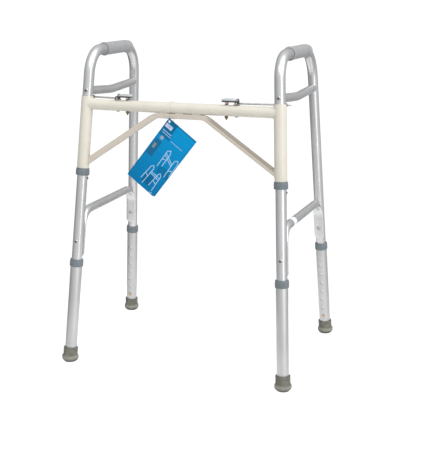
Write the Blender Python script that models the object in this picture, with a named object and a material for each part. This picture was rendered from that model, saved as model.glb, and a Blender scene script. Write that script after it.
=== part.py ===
"""Folding walking frame with two palm levers, at its lowest height setting.

Metres, +Z up. The origin is on the floor at the middle of the four feet. The front, with the crossbar,
faces -Y; the user steps in from +Y. Left is -X, as seen from the front.
Each side frame is one bent tube that turns in a sleeve of the front frame. Its two legs end in telescopic
extensions, which snap buttons hold at one of seven heights.
"""

from math import cos, pi, radians, sin, sqrt, tan

import bmesh
import bpy
from mathutils import Matrix, Vector

GAP = 0.0003
PEG_TURN = radians(7)
SIDES = {"left": -1, "right": 1}

# Stance: the front leg axes at the floor, and how they lean for each metre of height.
FRONT_HALF_WIDTH = 0.2849
FRONT_Y = -0.2227
LEAN_IN = 0.0596
LEAN_BACK = 0.0716
# The side frame's plane opens outward towards the rear, and its legs draw together with height.
SPLAY = 0.0379
FOOTPRINT = 0.4463
RAKE = 0.1854

# Side tube
TUBE_R = 0.0131
TUBE_WALL = 0.0012
TUBE_SIDES = 12
TUBE_FOOT = 0.0355
HANDLE_FRONT_Z = 0.7914
HANDLE_RISE = 0.0253
FRONT_BEND = 0.060
REAR_BEND = 0.082
GRIP_R = 0.0160
GRIP_START = 0.083
GRIP_END = 0.246

# Leg extensions
EXT_R = 0.0148
EXT_WALL = 0.0014
EXT_FOOT = 0.0081
EXT_TOP = 0.2640
HOLE_PITCH = 0.0254
HOLE_COUNT = 7
HOLE_R = 0.0042
BUTTON_HEIGHT = 0.0550
BUTTON_R = 0.0037
BUTTON_PROUD = 0.0032
COLLAR_R = 0.0170
COLLAR_FOOT = 0.2515
COLLAR_TOP = 0.2703

# Front frame
SLEEVE_R = 0.0150
SLEEVE_BORE = 0.0134
SLEEVE_FOOT = 0.5034
SLEEVE_TOP = 0.6815
STOP_FOOT = 0.4855
BAR_R = 0.01325
BAR_WALL = 0.0015
BAR_Z = 0.6620
BRACE_Z = 0.6425
BRACE_HALF_FLAT = 0.063
BRACE_END_Z = 0.5125
BRACE_HALF = 0.0070
BRACE_FLAT_HALF = 0.0062
BRACE_WALL = 0.0012

# Side braces
UPPER_R = 0.0105
UPPER_FRONT_Z = 0.6950
UPPER_DIP_BACK = 0.150
UPPER_DIP_Z = 0.6885
UPPER_REAR_Z = 0.6985
LOWER_R = 0.0105
LOWER_Z = 0.390
LOWER_BEND = 0.045
STRAP_FRONT_FOOT = 0.273
STRAP_REAR_FOOT = 0.284
STRAP_HALF_WIDTH = 0.0130
STRAP_HALF_THICK = 0.0020
STRAP_FLAT = 0.072
STRAP_BLEND = 0.055
STRAP_STEP = 0.0245
SIDE_BRACE_WALL = 0.0014
RIVET_Z = 0.3165

# Palm levers. Reach is measured from the pivot towards the middle of the bar.
LEVER_X = {"left": -0.1625, "right": 0.1405}
BOLT_REACH = 0.0250
PAD_START = 0.0045
PAD_END = 0.0365
PIVOT_Z = 0.6795
ROD_ARM = 0.0065
ROD_Z = 0.6785
ROD_R = 0.0022
ROD_BEHIND_LEG = 0.0190
ROD_BEHIND_BAR = 0.0108
ROD_TAIL = 0.0220
PLATE_Z = 0.6828
PLATE_T = 0.0015
ARM_HALF = 0.0070
EAR_HALF = 0.0054
SHEET = 0.0012
PAD_HALF = 0.0080
PAD_T = 0.0055

# Hang tag
TAG_LENGTH = 0.180
TAG_WIDTH = 0.0885
TAG_T = 0.0012
TAG_TURN = radians(-37.4)
TAG_CORNER = (-0.0235, 0.6395)
TAG_FORWARD = 0.0140
TAG_HOLE = 0.0065
LOOP_R = 0.0260
LOOP_DROP = 0.0097
LOOP_WIRE_R = 0.0006


# ---------------------------------------------------------------- helpers

for old in list(bpy.data.objects):
    bpy.data.objects.remove(old)

X, Y, Z = Vector((1, 0, 0)), Vector((0, 1, 0)), Vector((0, 0, 1))

# Every object's and empty's world matrix, by name.
WORLD = {}


def finish(name, colour, roughness, metallic=0.0):
    material = bpy.data.materials.new(name)
    material.use_nodes = True
    shader = material.node_tree.nodes["Principled BSDF"]
    shader.inputs["Base Color"].default_value = (*colour, 1.0)
    shader.inputs["Roughness"].default_value = roughness
    shader.inputs["Metallic"].default_value = metallic
    return material


CREAM = finish("cream_powder_coat", (0.78, 0.73, 0.62), 0.42)
ALUMINIUM = finish("satin_anodised_aluminium", (0.72, 0.73, 0.75), 0.32, 1.0)
SLATE = finish("slate_plastic", (0.17, 0.19, 0.21), 0.5)
VINYL = finish("grey_vinyl", (0.35, 0.37, 0.38), 0.62)
RUBBER = finish("grey_rubber", (0.17, 0.16, 0.13), 0.8)
ZINC = finish("zinc_plated_steel", (0.45, 0.45, 0.44), 0.38, 1.0)
DARK_STEEL = finish("blackened_steel", (0.06, 0.06, 0.055), 0.45, 1.0)
BRASS = finish("brass", (0.62, 0.44, 0.20), 0.3, 1.0)
COPPER = finish("copper_washed_steel", (0.45, 0.25, 0.15), 0.35, 1.0)
PAD_GREY = finish("light_grey_plastic", (0.52, 0.54, 0.54), 0.45)
CARD = finish("blue_card", (0.0, 0.22, 0.50), 0.35)
CLEAR_PLASTIC = finish("pale_plastic", (0.75, 0.77, 0.78), 0.4)


def put(obj, where, parent=None):
    """Stands an object at a world matrix, and hangs it on its parent without moving it."""
    obj.matrix_basis = where
    WORLD[obj.name] = where
    if parent:
        obj.parent = parent
        obj.matrix_parent_inverse = WORLD[parent.name].inverted()
    return obj


def axis_empty(name, where, parent=None):
    empty = bpy.data.objects.new(name, None)
    empty.empty_display_size = 0.05
    bpy.context.collection.objects.link(empty)
    return put(empty, where, parent)


def solid(name, bm, where, material, parent, sharp=radians(35)):
    """Turns a bmesh into a smooth-shaded object with its faces pointing out."""
    bmesh.ops.recalc_face_normals(bm, faces=bm.faces)
    mesh = bpy.data.meshes.new(name)
    bm.to_mesh(mesh)
    bm.free()
    mesh.materials.append(material)
    mesh.shade_smooth()
    mesh.set_sharp_from_angle(angle=sharp)
    obj = bpy.data.objects.new(name, mesh)
    bpy.context.collection.objects.link(obj)
    return put(obj, where, parent)


def skin(rings, wrap=False):
    """Joins rings of points into one closed body. Wrapped, the last ring meets the first."""
    bm = bmesh.new()
    loops = [[bm.verts.new(point) for point in ring] for ring in rings]
    nexts = loops[1:] + loops[:1] if wrap else loops[1:]
    for here, there in zip(loops, nexts):
        for i, corner in enumerate(here):
            j = (i + 1) % len(here)
            bm.faces.new((corner, here[j], there[j], there[i]))
    if not wrap:
        bm.faces.new(loops[0])
        bm.faces.new(loops[-1])
    return bm


def oval(centre, across, upward, half_across, half_up, count):
    """A ring of points round a centre."""
    turns = [2 * pi * k / count for k in range(count)]
    return [
        centre + across * half_across * cos(t) + upward * half_up * sin(t)
        for t in turns
    ]


def turned(profile, count, wrap):
    """A body turned about Z from (radius, height) points. Wrapped, it has a bore."""
    return skin([oval(Z * h, X, Y, r, r, count) for r, h in profile], wrap)


def rounded(corners, radii, steps):
    """A path through corners, with an arc of the given radius at each inner one."""
    path = [corners[0]]
    for before, corner, after, radius in zip(corners, corners[1:], corners[2:], radii):
        back = (before - corner).normalized()
        onward = (after - corner).normalized()
        half = back.angle(onward) / 2
        start = corner + back * radius / tan(half)
        centre = corner + (back + onward).normalized() * radius / sin(half)
        arm = start - centre
        turn = pi - 2 * half
        axis = back.cross(onward).normalized()
        for k in range(steps + 1):
            path.append(centre + Matrix.Rotation(-turn * k / steps, 3, axis) @ arm)
    path.append(corners[-1])
    return path


def split_long(path, longest):
    """The same path with its long runs cut into even parts."""
    out = [path[0]]
    for a, b in zip(path, path[1:]):
        parts = max(1, round((b - a).length / longest))
        out += [a.lerp(b, k / parts) for k in range(1, parts + 1)]
    return out


def distances(path):
    """How far along the path each of its points lies."""
    out = [0.0]
    for a, b in zip(path, path[1:]):
        out.append(out[-1] + (b - a).length)
    return out


def stretch(path, first, last):
    """The part of a path between two distances along it."""
    along = distances(path)

    def at(distance):
        k = max(i for i, d in enumerate(along[:-1]) if d <= distance)
        share = (distance - along[k]) / (along[k + 1] - along[k])
        return path[k].lerp(path[k + 1], share)

    inner = [p for p, d in zip(path, along) if first + 0.001 < d < last - 0.001]
    return [at(first)] + inner + [at(last)]


def swept(path, across, size, count, wall=0.0):
    """A tube along a flat path. size(distance, length) gives its half width and half thickness."""
    along = distances(path)
    outer, inner = [], []
    for k, point in enumerate(path):
        ahead = path[min(k + 1, len(path) - 1)]
        behind = path[max(k - 1, 0)]
        upward = across.cross((ahead - behind).normalized())
        a, b = size(along[k], along[-1])
        outer.append(oval(point, across, upward, a, b, count))
        thin = max(b - wall, 0.0005)
        inner.append(oval(point, across, upward, a - wall, thin, count))
    if not wall:
        return skin(outer)
    return skin(outer + inner[::-1], wrap=True)


def constant(radius):
    return lambda distance, length: (radius, radius)


def pegs(name, pins, count=8):
    """A cutter of one or more pegs, each from a start to an end with a radius."""
    bm = bmesh.new()
    for start, end, radius in pins:
        way = (end - start).normalized()
        # A small turn keeps the peg's edges off the edges of what it cuts.
        side = Matrix.Rotation(PEG_TURN, 3, way) @ way.orthogonal().normalized()
        other = way.cross(side)
        rings = [oval(p, side, other, radius, radius, count) for p in (start, end)]
        loops = [[bm.verts.new(p) for p in ring] for ring in rings]
        for i in range(count):
            j = (i + 1) % count
            bm.faces.new((loops[0][i], loops[0][j], loops[1][j], loops[1][i]))
        bm.faces.new(loops[0][::-1])
        bm.faces.new(loops[1])
    bmesh.ops.recalc_face_normals(bm, faces=bm.faces)
    mesh = bpy.data.meshes.new(name)
    bm.to_mesh(mesh)
    bm.free()
    obj = bpy.data.objects.new(name, mesh)
    bpy.context.collection.objects.link(obj)
    return guide(obj)


def guide(obj):
    """Marks a helper that is never part of the object."""
    obj.hide_render = True
    obj.display_type = "WIRE"
    return obj


def combine(obj, other, operation):
    modifier = obj.modifiers.new(other.name, "BOOLEAN")
    modifier.operation = operation
    modifier.solver = "EXACT"
    modifier.object = other


def cut(obj, *cutters):
    for cutter in cutters:
        combine(obj, cutter, "DIFFERENCE")


# ---------------------------------------------------------------- planes and axes

LEG_STRETCH = sqrt(1 + LEAN_IN**2 + LEAN_BACK**2)
PLANE_Z = (LEAN_BACK - LEAN_IN * SPLAY) / LEG_STRETCH
PLANE_Y = sqrt(1 + SPLAY**2 - PLANE_Z**2)


def side_seat(side):
    """The side frame's own axes: x across its plane, y to the rear in it, z up the front leg."""
    sign = SIDES[side]
    leg = Vector((-sign * LEAN_IN, LEAN_BACK, 1)).normalized()
    level = Vector((sign * SPLAY, 1, 0))
    across = level.cross(leg).normalized()
    rear = leg.cross(across)
    seat = Matrix((across, rear, leg)).transposed().to_4x4()
    seat.translation = Vector((sign * FRONT_HALF_WIDTH, FRONT_Y, 0))
    return seat


def in_plane(back, height):
    """A point of the side frame: how far behind the front leg, and how high off the floor."""
    return Vector((0, back * PLANE_Y, height * LEG_STRETCH + back * PLANE_Z))


def rear_back(height):
    return FOOTPRINT - RAKE * height


REAR_WAY = (in_plane(rear_back(1), 1) - in_plane(rear_back(0), 0)).normalized()
REAR_STRETCH = (in_plane(rear_back(1), 1) - in_plane(rear_back(0), 0)).length
# Level distance for each unit measured square to the rear leg.
REAR_SLANT = 1 / sqrt(1 - REAR_WAY.dot(in_plane(1, 0).normalized()) ** 2)


def leg_seat(end, side):
    """Axes of a leg: z up the leg from the floor, y to the rear."""
    seat = side_seat(side)
    if end == "front":
        return seat
    up = REAR_WAY
    local = Matrix((X, up.cross(X), up)).transposed().to_4x4()
    local.translation = in_plane(rear_back(0), 0)
    return seat @ local


def front_seat():
    """Axes of the front frame's plane: x along the bar, z up the slope."""
    up = Vector((0, LEAN_BACK, 1)).normalized()
    seat = Matrix((X, up.cross(X), up)).transposed().to_4x4()
    seat.translation = Vector((0, FRONT_Y, 0))
    return seat


SLOPE = sqrt(1 + LEAN_BACK**2)
BAR_CENTRE = Vector((0, FRONT_Y + LEAN_BACK * BAR_Z, BAR_Z))


def leg_point(side, height):
    """A point on a front leg's axis, in the world."""
    sign = SIDES[side]
    x = sign * (FRONT_HALF_WIDTH - LEAN_IN * height)
    return Vector((x, FRONT_Y + LEAN_BACK * height, height))


front_frame = axis_empty("front_frame", Matrix.Translation(BAR_CENTRE))


# ---------------------------------------------------------------- front frame


def pivot_sleeve(side):
    low, high = SLEEVE_FOOT * LEG_STRETCH, SLEEVE_TOP * LEG_STRETCH
    profile = [(SLEEVE_R, low), (SLEEVE_R, high), (SLEEVE_BORE, high), (SLEEVE_BORE, low)]
    bm = turned(profile, 16, wrap=True)
    solid(side + "_pivot_sleeve", bm, side_seat(side), CREAM, front_frame)


def sleeve_shadow(side):
    """A cutter that stops a piece just short of the sleeve."""
    low, high = 0.45, 0.75
    reach = SLEEVE_R + GAP
    start, end = leg_point(side, low), leg_point(side, high)
    return pegs(side + "_sleeve_shadow", [(start, end, reach)], 16)


def crossbar(shadows):
    half = leg_point("right", BAR_Z).x
    bm = swept([-X * half, X * half], Y, constant(BAR_R), 16, BAR_WALL)
    bar = solid("crossbar", bm, Matrix.Translation(BAR_CENTRE), CREAM, front_frame)
    cut(bar, *shadows)
    pins = []
    for side in SIDES:
        for reach in (0.0, BOLT_REACH):
            middle = towards_middle(side, reach, 0, BAR_Z)
            pins.append((middle - Z * 0.03, middle + Z * 0.03, 0.0026))
    cut(bar, pegs("bar_drills", pins))


def squarish(point, across, upward, half_across, half_up):
    """An eight-sided ring, square with its corners taken off."""
    soft = 0.55
    shape = [(1, soft), (soft, 1), (-soft, 1), (-1, soft)]
    shape += [(-a, -b) for a, b in shape]
    return [point + across * half_across * a + upward * half_up * b for a, b in shape]


def cross_brace(shadows):
    """The bent square tube under the bar, pressed flat where it is welded to the bar."""
    end_x = leg_point("right", BRACE_END_Z).x
    points = [(-end_x, BRACE_END_Z), (-BRACE_HALF_FLAT, BRACE_Z)]
    points += [(BRACE_HALF_FLAT, BRACE_Z), (end_x, BRACE_END_Z)]
    corners = [Vector((x, 0, z * SLOPE)) for x, z in points]
    path = rounded(corners, (0.035, 0.035), 4)
    outer, inner = [], []
    for k, point in enumerate(path):
        ahead = path[min(k + 1, len(path) - 1)]
        behind = path[max(k - 1, 0)]
        upward = (ahead - behind).normalized().cross(Y)
        flat = abs(point.x) < BRACE_HALF_FLAT
        half_up = BRACE_FLAT_HALF if flat else BRACE_HALF
        outer.append(squarish(point, Y, upward, BRACE_HALF, half_up))
        slim = (BRACE_HALF - BRACE_WALL, half_up - BRACE_WALL)
        inner.append(squarish(point, Y, upward, *slim))
    bm = skin(outer + inner[::-1], wrap=True)
    brace = solid("cross_brace", bm, front_seat(), CREAM, front_frame)
    cut(brace, *shadows)


# ---------------------------------------------------------------- side frames


def side_path():
    """The centre line of the side tube, from the front leg's end to the rear leg's end."""
    meet = (FOOTPRINT - RAKE * HANDLE_FRONT_Z) / (1 + RAKE * HANDLE_RISE)
    front_end = in_plane(0, 0) + Z * TUBE_FOOT * LEG_STRETCH
    rear_end = in_plane(rear_back(0), 0) + REAR_WAY * TUBE_FOOT * REAR_STRETCH
    front_corner = in_plane(0, HANDLE_FRONT_Z)
    rear_corner = in_plane(meet, HANDLE_FRONT_Z + HANDLE_RISE * meet)
    corners = [front_end, front_corner, rear_corner, rear_end]
    return rounded(corners, (FRONT_BEND, REAR_BEND), 8)


def rivet_line(end, height):
    """A rivet's centre on a leg and the way to the rear square to the leg, in side axes."""
    if end == "front":
        return in_plane(0, height), Y
    return in_plane(rear_back(height), height), REAR_WAY.cross(X)


def drill(end, height, radius, name, side):
    centre, rear = rivet_line(end, height)
    reach = rear * 0.03
    cutter = pegs(name, [(centre - reach, centre + reach, radius)])
    return put(cutter, side_seat(side))


def side_tube(side, axis, drills):
    bm = swept(side_path(), X, constant(TUBE_R), TUBE_SIDES, TUBE_WALL)
    tube = solid(side + "_side_tube", bm, side_seat(side), ALUMINIUM, axis)
    cut(tube, *drills)


def hand_grip(side, axis):
    path = side_path()
    # Distance along the tube at which it has come round the front bend.
    bend_end = (path[1] - path[0]).length + FRONT_BEND * pi / 2 - FRONT_BEND
    inner = TUBE_R + GAP
    part = stretch(path, bend_end + GRIP_START, bend_end + GRIP_END)
    bm = swept(part, X, constant(GRIP_R), TUBE_SIDES, GRIP_R - inner)
    solid(side + "_hand_grip", bm, side_seat(side), VINYL, axis)


def leg_shadow(end, side):
    """A cutter that stops a brace just short of the side tube's leg."""
    reach = TUBE_R + GAP
    bm = turned([(reach, 0.55), (reach, 0.78)], TUBE_SIDES, wrap=False)
    name = f"{end}_{side}_leg_shadow"
    return guide(solid(name, bm, leg_seat(end, side), ALUMINIUM, None))


def upper_brace(side, axis):
    dip = in_plane(UPPER_DIP_BACK, UPPER_DIP_Z)
    rear = in_plane(rear_back(UPPER_REAR_Z), UPPER_REAR_Z)
    path = rounded([in_plane(0, UPPER_FRONT_Z), dip, rear], (0.35,), 4)
    bm = swept(path, X, constant(UPPER_R), 12, SIDE_BRACE_WALL)
    brace = solid(side + "_upper_brace", bm, side_seat(side), ALUMINIUM, axis)
    cut(brace, leg_shadow("front", side), leg_shadow("rear", side))


def strap_size(distance, length):
    """Round in the middle, flattened to a strap towards both ends."""
    near = min(distance, length - distance)
    share = min(max((near - STRAP_FLAT) / STRAP_BLEND, 0.0), 1.0)
    share = share * share * (3 - 2 * share)
    half_width = STRAP_HALF_WIDTH + (LOWER_R - STRAP_HALF_WIDTH) * share
    half_thick = STRAP_HALF_THICK + (LOWER_R - STRAP_HALF_THICK) * share
    return half_width, half_thick


def lower_brace(side, axis, drills):
    """The brace whose ends turn down and lie flat against the two legs."""
    off = TUBE_R + GAP + STRAP_HALF_THICK
    rear_off = off * REAR_SLANT
    corners = [
        in_plane(0, STRAP_FRONT_FOOT) + Y * off,
        in_plane(0, LOWER_Z) + Y * off,
        in_plane(rear_back(LOWER_Z) - rear_off, LOWER_Z),
        in_plane(rear_back(STRAP_REAR_FOOT) - rear_off, STRAP_REAR_FOOT),
    ]
    path = split_long(rounded(corners, (LOWER_BEND, LOWER_BEND), 5), STRAP_STEP)
    bm = swept(path, X, strap_size, 10, SIDE_BRACE_WALL)
    brace = solid(side + "_lower_brace", bm, side_seat(side), ALUMINIUM, axis)
    cut(brace, *drills)


def rivet(name, seat, centre, way, grip, parent, second_head=True):
    """A round-headed rivet along way; its grip is the length between heads."""
    head = [(0.0018, -0.0021), (0.0036, -0.0012), (0.0042, 0.0), (0.0022, 0.0)]
    far = [(r, grip - z) for r, z in reversed(head)]
    tail = far if second_head else [(0.0022, grip)]
    side = X
    other = way.cross(side)
    rings = [
        oval(centre + way * z, side, other, r, r, 8) for r, z in head + tail
    ]
    solid(name, skin(rings), seat, ZINC, parent)


def side_rivets(side, axis):
    seat = side_seat(side)
    face = TUBE_R + GAP
    strap = 2 * STRAP_HALF_THICK + GAP
    for end in ("front", "rear"):
        outward = 1 if end == "front" else -1
        centre, rear = rivet_line(end, RIVET_Z)
        way = rear * outward
        name = f"{side}_lower_{end}_rivet"
        start = centre - way * face
        rivet(name, seat, start, way, 2 * face + strap, axis)
        height = UPPER_FRONT_Z if end == "front" else UPPER_REAR_Z
        centre, rear = rivet_line(end, height)
        way = rear * outward
        name = f"{side}_upper_{end}_rivet"
        rivet(name, seat, centre - way * face, way, face + 0.0210, axis, False)


def stop_collar(side, axis):
    low, high = STOP_FOOT * LEG_STRETCH, SLEEVE_FOOT * LEG_STRETCH - GAP
    bore = TUBE_R + GAP
    profile = [(0.0155, low), (COLLAR_R, low + 0.0015), (COLLAR_R, high - 0.0012)]
    profile += [(0.0162, high), (bore, high), (bore, low)]
    bm = turned(profile, TUBE_SIDES, wrap=True)
    solid(side + "_stop_collar", bm, side_seat(side), SLATE, axis)


def button_holes(end, side):
    """The drill for the snap button in the side tube's leg."""
    seat = leg_seat(end, side)
    scale = LEG_STRETCH if end == "front" else REAR_STRETCH
    way = Y if end == "front" else -Y
    middle = Z * BUTTON_HEIGHT * scale
    name = f"{end}_{side}_button_drill"
    return put(pegs(name, [(middle, middle + way * 0.03, HOLE_R)], 10), seat)


def side_frame(side):
    axis = axis_empty(side + "_fold_axis", side_seat(side), front_frame)
    lower = [
        drill(end, RIVET_Z, 0.0026, f"{side}_{end}_lower_drill", side)
        for end in ("front", "rear")
    ]
    upper = [
        drill("front", UPPER_FRONT_Z, 0.0026, side + "_front_upper_drill", side),
        drill("rear", UPPER_REAR_Z, 0.0026, side + "_rear_upper_drill", side),
    ]
    buttons = [button_holes(end, side) for end in ("front", "rear")]
    side_tube(side, axis, lower + upper + buttons)
    hand_grip(side, axis)
    upper_brace(side, axis)
    lower_brace(side, axis, lower)
    side_rivets(side, axis)
    stop_collar(side, axis)
    return axis


# ---------------------------------------------------------------- leg extensions


def leg_extension(name, seat, slide, scale, way):
    low, high = EXT_FOOT, EXT_TOP * scale
    bore = EXT_R - EXT_WALL
    profile = [(EXT_R, low), (EXT_R, high), (bore, high), (bore, low)]
    bm = turned(profile, TUBE_SIDES, wrap=True)
    tube = solid(name + "_leg_extension", bm, seat, ALUMINIUM, slide)
    pins = []
    for k in range(HOLE_COUNT):
        middle = Z * (BUTTON_HEIGHT * scale + HOLE_PITCH * k)
        pins.append((middle, middle + way * 0.03, HOLE_R))
    cut(tube, put(pegs(name + "_hole_row", pins), seat))


def rubber_foot(name, seat, slide):
    """A flared tip round the extension's end, cut level where it meets the floor."""
    bore = EXT_R + GAP
    top = 0.0370
    profile = [(0.0195, -0.006), (0.0206, 0.0035), (0.0210, 0.0105), (0.0196, 0.0165)]
    profile += [(0.0186, 0.0290), (0.0183, top), (bore, top), (bore, EXT_FOOT - GAP)]
    bm = turned(profile, TUBE_SIDES, wrap=False)
    level = seat.to_3x3().inverted() @ Z
    everything = bm.verts[:] + bm.edges[:] + bm.faces[:]
    bmesh.ops.bisect_plane(
        bm, geom=everything, plane_co=(0, 0, 0), plane_no=level, clear_inner=True
    )
    open_edges = [edge for edge in bm.edges if edge.is_boundary]
    bmesh.ops.holes_fill(bm, edges=open_edges)
    solid(name + "_rubber_foot", bm, seat, RUBBER, slide)


def bush_collar(name, seat, slide, scale):
    """The plastic bush on top of the extension, with a lip that guides the side tube."""
    low, high, lip = COLLAR_FOOT * scale, COLLAR_TOP * scale, EXT_TOP * scale + GAP
    wide, snug = EXT_R + GAP, TUBE_R + GAP
    profile = [(0.0158, low), (COLLAR_R, low + 0.0015), (COLLAR_R, high - 0.0015)]
    profile += [(0.0155, high), (snug, high), (snug, lip), (wide, lip), (wide, low)]
    bm = turned(profile, TUBE_SIDES, wrap=True)
    solid(name + "_bush_collar", bm, seat, SLATE, slide)


def snap_button(name, seat, axis, scale, way):
    """A domed pin on a bent leaf spring, inside the side tube's leg."""
    height = BUTTON_HEIGHT * scale
    proud = EXT_R + BUTTON_PROUD
    local = seat @ Matrix.Translation(Z * height)
    press = axis_empty(name + "_button_axis", local, axis)
    dome = [(BUTTON_R, 0.0085), (BUTTON_R, proud - 0.0016), (BUTTON_R * 0.75, proud - 0.0004)]
    dome.append((BUTTON_R * 0.3, proud))
    rings = [oval(way * r, X, Z, size, size, 10) for size, r in dome]
    button = solid(name + "_snap_button", skin(rings), local, BRASS, press)
    shape = [(0.0094, -0.008), (0.0094, 0.010), (0.0070, 0.026), (0.0040, 0.029)]
    shape += [(0.0010, 0.026), (-0.0046, -0.004)]
    path = [way * r + Z * h for r, h in shape]
    half_width, half_thick = 0.0033, 0.0004
    rings = []
    for k, point in enumerate(path):
        ahead = path[min(k + 1, len(path) - 1)]
        behind = path[max(k - 1, 0)]
        normal = X.cross((ahead - behind).normalized()) * half_thick
        wide = X * half_width
        corners = [wide + normal, normal - wide, -wide - normal, wide - normal]
        rings.append([point + corner for corner in corners])
    leaf = solid(name + "_button_leaf", skin(rings), local, BRASS, None)
    combine(button, guide(leaf), "UNION")


def leg(end, side, fold_axis):
    name = f"{end}_{side}"
    seat = leg_seat(end, side)
    scale = LEG_STRETCH if end == "front" else REAR_STRETCH
    way = Y if end == "front" else -Y
    slide = axis_empty(name + "_slide_axis", seat, fold_axis)
    leg_extension(name, seat, slide, scale, way)
    rubber_foot(name, seat, slide)
    bush_collar(name, seat, slide, scale)
    snap_button(name, seat, fold_axis, scale, way)


# ---------------------------------------------------------------- palm levers


def towards_middle(side, reach, y, z):
    """A point by its reach from the pivot: y from the bar's centre plane, z off the floor."""
    x = LEVER_X[side] - SIDES[side] * reach
    return Vector((x, BAR_CENTRE.y + y, z))


def on(side, rings):
    """Lever rings, given in reach, y and z, as world points about the pivot."""
    pivot = towards_middle(side, 0, 0, PIVOT_Z)
    return [[towards_middle(side, *point) - pivot for point in ring] for ring in rings]


def lever_bracket(side, seat, pin_drill, rivet_drill):
    """A U-shaped sheet bracket riveted on the bar, whose two ears hold the pin."""
    floor = BAR_Z + BAR_R + GAP
    low, tall = floor + 0.0022, 0.6822
    stations = [(-0.0070, low), (-0.0036, low), (-0.0028, tall)]
    stations += [(0.0028, tall), (0.0036, low), (0.0070, low)]
    w, t = EAR_HALF, SHEET
    rings = []
    for reach, top in stations:
        section = [(-w, floor), (w, floor), (w, top), (w - t, top), (w - t, floor + t)]
        section += [(t - w, floor + t), (t - w, top), (-w, top)]
        rings.append([(reach, y, z) for y, z in section])
    bm = skin(on(side, rings))
    bracket = solid(side + "_lever_bracket", bm, seat, ZINC, front_frame)
    cut(bracket, pin_drill, rivet_drill)


def lever_arm(side, seat, axis, pin_drill):
    """The pressed arm: a plate with turned-down cheeks, and an ear for the rod at the back."""
    top = PLATE_Z + PLATE_T
    deep, shallow = 0.6772, PLATE_Z - 0.0010
    ear, no_ear = PIVOT_Z + ROD_ARM + 0.0040, top + GAP
    end = PAD_END - 0.0010
    stations = [(-0.0042, deep, no_ear), (-0.0034, deep, ear), (0.0034, deep, ear)]
    stations += [(0.0040, shallow, no_ear), (end, shallow, no_ear)]
    w, t = ARM_HALF, SHEET
    rings = []
    for reach, low, high in stations:
        section = [(-w, low), (-w, top), (w - t, top), (w - t, high), (w, high), (w, low)]
        section += [(w - t, low), (w - t, PLATE_Z), (t - w, PLATE_Z), (t - w, low)]
        rings.append([(reach, y, z) for y, z in section])
    bm = skin(on(side, rings))
    arm = solid(side + "_lever_arm", bm, seat, DARK_STEEL, axis)
    eye = towards_middle(side, 0, 0, PIVOT_Z + ROD_ARM)
    hole = [(eye + Y * 0.0045, eye + Y * 0.0120, ROD_R + 0.0007)]
    cut(arm, pin_drill, pegs(side + "_rod_eye", hole))


def lever_pad(side, seat, axis):
    """The moulded pad that the palm presses, crowned along its length."""
    low = PLATE_Z + PLATE_T + 2 * GAP
    edge = 0.0018
    # Share of the length, how far the top drops there, and how far the sides draw in.
    stations = [(0, 0.0022, 0.0014), (0.08, 0.0006, 0.0003), (0.5, 0, 0)]
    stations += [(1 - share, drop, narrow) for share, drop, narrow in stations[1::-1]]
    rings = []
    for share, drop, narrow in stations:
        reach = PAD_START + (PAD_END - PAD_START) * share
        half = PAD_HALF - narrow
        top = low + PAD_T - drop
        section = [(-half, low), (half, low), (half, top - edge), (half - edge, top)]
        section += [(edge - half, top), (-half, top - edge)]
        rings.append([(reach, y, z) for y, z in section])
    bm = skin(on(side, rings))
    solid(side + "_lever_pad", bm, seat, PAD_GREY, axis)


def lever_pin(side):
    half = ARM_HALF + GAP
    start = towards_middle(side, 0, -half, PIVOT_Z)
    head = [(0.0009, -0.0006), (0.0018, 0.0), (0.0013, 0.0)]
    tail = [(r, 2 * half - z) for r, z in reversed(head)]
    rings = [oval(Y * z, X, Z, r, r, 8) for r, z in head + tail]
    solid(side + "_lever_pin", skin(rings), Matrix.Translation(start), ZINC, front_frame)


def bracket_rivet(side):
    """Countersunk flat inside the bracket, domed under the bar."""
    top = BAR_Z + BAR_R + GAP + SHEET + GAP
    foot = BAR_Z - BAR_R - GAP
    head = [(0.0030, top + 0.0007), (0.0034, top), (0.0021, top)]
    tail = [(0.0021, foot), (0.0042, foot), (0.0036, foot - 0.0012), (0.0018, foot - 0.0021)]
    rings = [oval(Z * z, X, Y, r, r, 8) for r, z in head + tail]
    seat = Matrix.Translation(towards_middle(side, 0, 0, 0))
    solid(side + "_bracket_rivet", skin(rings), seat, ZINC, front_frame)


def spring_bolt(side):
    """The bolt through the bar, whose head stands inside the lever's spring."""
    top = BAR_Z + BAR_R + GAP
    foot = 0.6400
    head = [(0.0024, top + 0.0024), (0.0028, top + 0.0018), (0.0028, top), (0.0022, top)]
    tail = [(0.0022, foot + 0.0008), (0.0016, foot)]
    rings = [oval(Z * z, X, Y, r, r, 8) for r, z in head + tail]
    seat = Matrix.Translation(towards_middle(side, BOLT_REACH, 0, 0))
    solid(side + "_spring_bolt", skin(rings), seat, DARK_STEEL, front_frame)


def spring_nut(side):
    top = BAR_Z - BAR_R - GAP
    low = top - 0.0052
    bore = 0.0026
    profile = [(0.0040, low), (0.0044, low + 0.0006), (0.0044, top), (bore, top), (bore, low)]
    bm = turned(profile, 6, wrap=True)
    seat = Matrix.Translation(towards_middle(side, BOLT_REACH, 0, 0))
    solid(side + "_spring_nut", bm, seat, BRASS, front_frame)


def lever_spring(side):
    """A short compression coil between the bar and the lever's plate."""
    wire, coil, turns, steps = 0.0006, 0.0042, 3, 10
    low = BAR_Z + BAR_R + GAP + wire
    rise = PLATE_Z - GAP - wire - low
    rings = []
    for k in range(turns * steps + 1):
        angle = 2 * pi * k / steps
        out = Vector((cos(angle), sin(angle), 0))
        centre = out * coil + Z * (low + rise * k / (turns * steps))
        rings.append(oval(centre, out, Z, wire, wire, 5))
    seat = Matrix.Translation(towards_middle(side, BOLT_REACH, 0, 0))
    solid(side + "_lever_spring", skin(rings), seat, COPPER, front_frame)


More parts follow.
